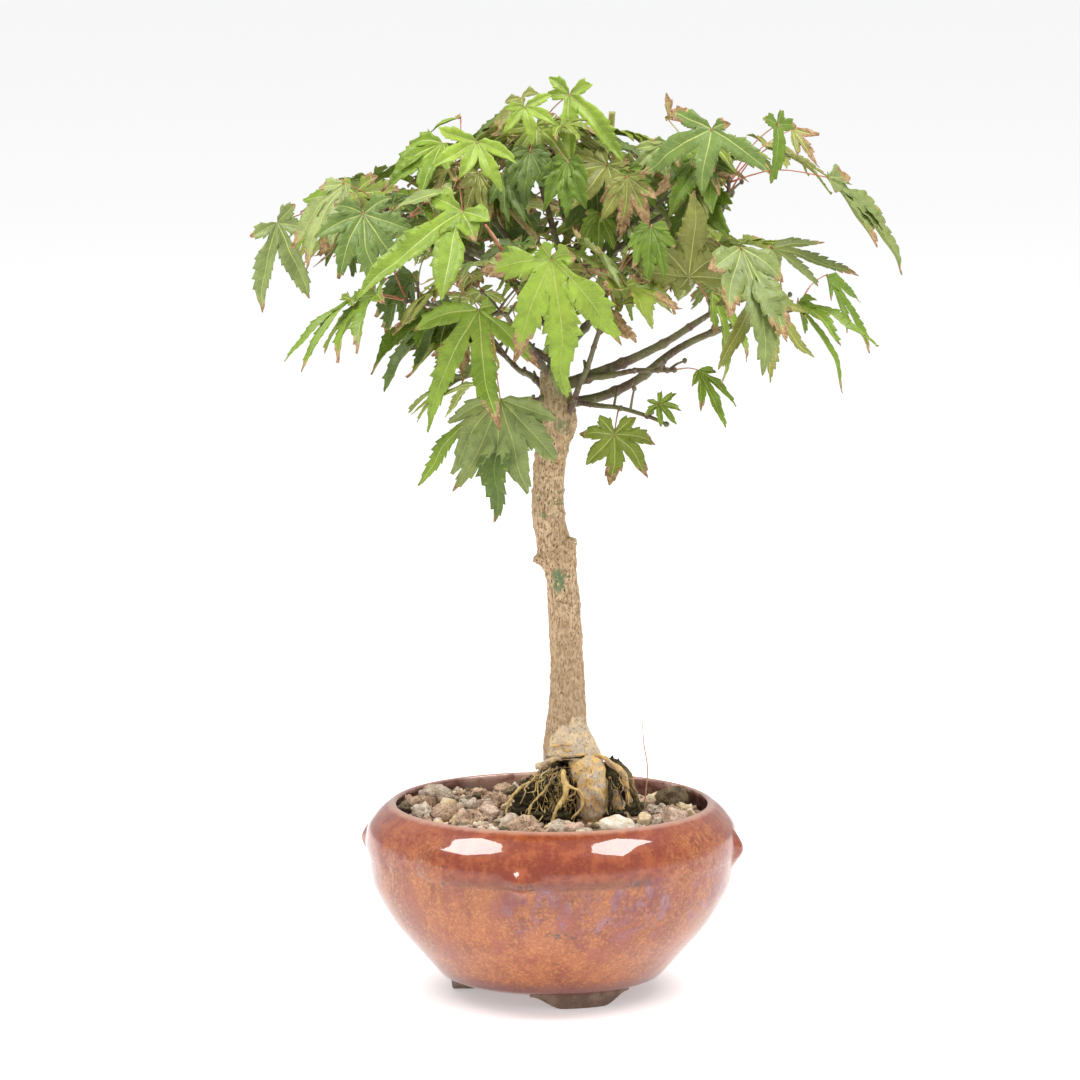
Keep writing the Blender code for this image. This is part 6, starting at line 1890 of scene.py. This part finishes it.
def make_bowl():
    """The glazed bowl: a turned wall with raised panels, buttons and dimples on its shoulder."""
    rows = bowl_profile()
    crest = max(range(len(rows)), key=lambda i: rows[i][1])
    points = []
    for i, (radius, height) in enumerate(rows):
        # only the outer wall is shaped, from the base's edge to just under the lip
        shaped = i > crest - 6 and radius > 60.0 and height < 75.5
        for k in range(BOWL_SIDES):
            angle = 360.0 * k / BOWL_SIDES
            grown = radius + (bowl_raise(angle, height) if shaped else 0.0)
            out = polar(BOWL_TURN + angle)
            wobble = 0.22 * noise.noise(Vector((out.x * 1.6, out.y * 1.6, height / 26.0)))
            points.append(out * (grown + wobble) + Vector((0, 0, height)))
    faces = [(face[0], *face[:0:-1]) for face in ring_quads(len(rows), BOWL_SIDES)]
    inside = (crest - 3) * BOWL_SIDES
    kinds = ["glaze_inside" if i < inside else "glaze" for i in range(len(faces))]
    faces.append(tuple(range((len(rows) - 1) * BOWL_SIDES, len(rows) * BOWL_SIDES)))
    faces.append(tuple(range(BOWL_SIDES)))
    bowl = Piece("bowl")
    bowl.add((points, faces), kinds + ["glaze"] * 2)
    made = bowl.make(["pot"])
    made.data.set_sharp_from_angle(angle=math.radians(60.0))


def make_foot(name, azimuth):
    """A bare clay foot: an arc under the base with ogee ends and softened edges."""
    bm = bmesh.new()
    bmesh.ops.create_cube(bm, size=2.0)
    for k in range(1, FOOT_CUTS):
        every = bm.verts[:] + bm.edges[:] + bm.faces[:]
        place = (-1.0 + k / (FOOT_CUTS / 2), 0, 0)
        bmesh.ops.bisect_plane(bm, geom=every, plane_co=place, plane_no=(1, 0, 0))
    middle = sum(FOOT_RING) / 2
    for vert in bm.verts:
        outer, upper = vert.co.y < 0, vert.co.z > 0
        across = vert.co.x * FOOT_HALF_TOP
        radius = FOOT_RING[1] if outer else FOOT_RING[0]
        share = max(0.0, (abs(across) - FOOT_HALF_BOTTOM) / (FOOT_HALF_TOP - FOOT_HALF_BOTTOM))
        ogee = (1.0 - math.cos(math.pi * min(share * 1.04, 1.0))) / 2
        height = FOOT_TOP + 0.5 if upper else (FOOT_TOP - 1.2) * ogee
        if outer and not upper:
            radius -= 1.0
        turn = across / middle
        vert.co = Vector((math.sin(turn) * radius, -math.cos(turn) * radius, height))
    bmesh.ops.rotate(bm, verts=bm.verts, matrix=Matrix.Rotation(math.radians(azimuth), 3, "Z"))
    bm.normal_update()
    sharp = [edge for edge in bm.edges if len(edge.link_faces) == 2 and edge.calc_face_angle() > 0.9]
    bmesh.ops.bevel(bm, geom=sharp, offset=0.6, segments=3, affect="EDGES", profile=0.5)
    foot = Piece(name.replace("foot", "clay_foot"))
    foot.add(taken_from(bm), "clay")
    foot.make([name])


def soil_height(x, y):
    rough = noise.noise(Vector((x / 9.0, y / 9.0, 3.0)))
    rough += 0.6 * noise.noise(Vector((x / 3.0, y / 3.0, 8.0)))
    left = 2.4 * smoothstep(-4.0, -36.0, x)
    return SOIL_TOP - 0.6 + rough + left - 1.6 * smoothstep(52.0, 64.0, math.hypot(x, y))


def make_soil():
    """The soil's surface, a little higher at the left."""
    points, faces = [Vector((0, 0, soil_height(0, 0)))], []
    for i in range(1, SOIL_RINGS + 1):
        reach = SOIL_RADIUS * i / SOIL_RINGS
        for k in range(SOIL_SIDES):
            out = polar(360.0 * k / SOIL_SIDES) * reach
            points.append(Vector((out.x, out.y, soil_height(out.x, out.y))))
    for k in range(SOIL_SIDES):
        beside = (k + 1) % SOIL_SIDES
        faces.append((0, 1 + k, 1 + beside))
        for i in range(SOIL_RINGS - 1):
            a, b = 1 + i * SOIL_SIDES + k, 1 + i * SOIL_SIDES + beside
            faces.append((a, a + SOIL_SIDES, b + SOIL_SIDES, b))
    soil = Piece("soil_bed")
    soil.add((points, faces), "soil")
    soil.make(["soil"])


def spun(shell, rng, tilt):
    """A shell turned about the upright and tilted at random."""
    points, faces = shell
    turn = Matrix.Rotation(rng.uniform(0, math.tau), 3, "Z")
    turn = turn @ Matrix.Rotation(rng.uniform(-tilt, tilt), 3, "X")
    return [turn @ point for point in points], faces


def make_stones():
    """Listed stones and gravel by rule on the soil."""
    rng = random.Random(STONE_SEED)
    stones = Piece("stones")
    placed = []
    for x, y, wide, high, kind in STONES:
        rough = 0.5 if kind in ROUGH_STONES else 0.26
        half = (wide * 1.08, wide * rng.uniform(0.76, 0.98), high * 1.1)
        shell = spun(chipped(lump((0, 0, 0), half, 4, rough, 1.3, x + y), half, 4, rng), rng, 0.3)
        stones.add(shell, "stone_" + kind, at=Vector((x, y, soil_height(x, y) + 0.55 * high)))
        placed.append((x, y, wide))
    stones.make([])

    gravel = Piece("gravel")
    for _ in range(GRAVEL_TRIES):
        made = len(placed) - len(STONES)
        if made == GRAVEL_COUNT:
            break
        size = rng.choice(GRAVEL_SIZES) * rng.uniform(0.85, 1.2)
        reach, azimuth = 63.0 * math.sqrt(rng.random()), rng.uniform(0, 360)
        spot = polar(azimuth) * min(reach, 64.0 - size * 0.9)
        if math.hypot(spot.x - 9.0, spot.y + 2.0) < ROOT_BASE_RADIUS:
            continue
        if any(math.hypot(spot.x - x, spot.y - y) < 0.72 * (size + wide) for x, y, wide in placed):
            continue
        placed.append((spot.x, spot.y, size))
        kind = rng.choice(GRAVEL_KINDS)
        half = (size, size * rng.uniform(0.65, 1.0), size * rng.uniform(0.6, 0.95))
        detail = 2 if size < 2.2 else 3
        shell = spun(chipped(lump((0, 0, 0), half, detail, 0.7, 1.7, made), half, 2, rng), rng, 0.6)
        spot.z = soil_height(spot.x, spot.y) + half[2] * rng.uniform(0.25, 0.75)
        gravel.add(shell, "stone_" + kind, at=spot)
    gravel.make([])


def make_stalk():
    stalk = Piece("dry_stalk")
    stalk.add(tube(vectors(STALK), (0.34, 0.3, 0.26, 0.22, 0.14), 6), "stalk_pink")
    stalk.make([])


# ---- stage -----------------------------------------------------------------------------------


def area_light(name, place, size, power):
    data = bpy.data.lights.new(name, "AREA")
    data.shape = "RECTANGLE"
    data.size, data.size_y = size[0] * MM, size[1] * MM
    data.energy = power
    made = bpy.data.objects.new(name, data)
    bpy.context.scene.collection.objects.link(made)
    made.location = world(Vector(place))
    made.rotation_euler = (world(Vector(BOX_AIM)) - made.location).to_track_quat("-Z", "Y").to_euler()


# soft boxes: place, size, watts; both aim at the trunk
BOX_AIM = (0.0, 0.0, 150.0)
BOXES = {
    "box_left": ((-861.0, -146.0, 1411.0), (560.0, 620.0), 15.0),
    "box_right": ((789.0, -224.0, 1444.0), (600.0, 620.0), 16.0),
}
FLOOR_GLOW = 0.36
SKY_LIGHT = 0.62


def make_stage():
    """A white floor, white surroundings, two soft boxes and the camera."""
    scene = bpy.context.scene
    bpy.ops.mesh.primitive_plane_add(size=60.0)
    floor = bpy.context.object
    floor.name = "floor"
    paper = Surface("white_paper", 0.9, 0.1)
    paper.set(Base_Color=(0.9, 0.9, 0.91, 1.0), Emission_Color=(1.0, 1.0, 1.0, 1.0))
    paper.set(Emission_Strength=FLOOR_GLOW)
    floor.data.materials.append(paper.material)
    scene.world = bpy.data.worlds.new("studio")
    scene.world.use_nodes = True
    backdrop = scene.world.node_tree.nodes["Background"]
    backdrop.inputs["Color"].default_value = (1.0, 1.0, 1.0, 1.0)
    backdrop.inputs["Strength"].default_value = SKY_LIGHT
    for name, row in BOXES.items():
        area_light(name, *row)
    data = bpy.data.cameras.new("camera")
    data.lens = CAMERA_LENS
    data.sensor_width = 36.0
    data.clip_end = 100.0
    camera = bpy.data.objects.new("camera", data)
    scene.collection.objects.link(camera)
    camera.location = world(Vector((CAMERA_ASIDE, -CAMERA_AWAY, CAMERA_HEIGHT)))
    camera.rotation_euler = (math.radians(90.0 - CAMERA_PITCH), 0.0, 0.0)
    scene.camera = camera
    scene.view_settings.view_transform = "Standard"


make_stage()
limbs = grow_limbs()
crown = Crown(limbs)
make_leaves(crown.masses)
make_twigs(crown.masses)
make_trunk(limbs)
make_boughs(limbs)
make_roots(limbs)
make_bowl()
for foot_name, foot_azimuth in FOOT_AZIMUTHS.items():
    make_foot(foot_name, foot_azimuth)
make_soil()
make_stones()
make_stalk()
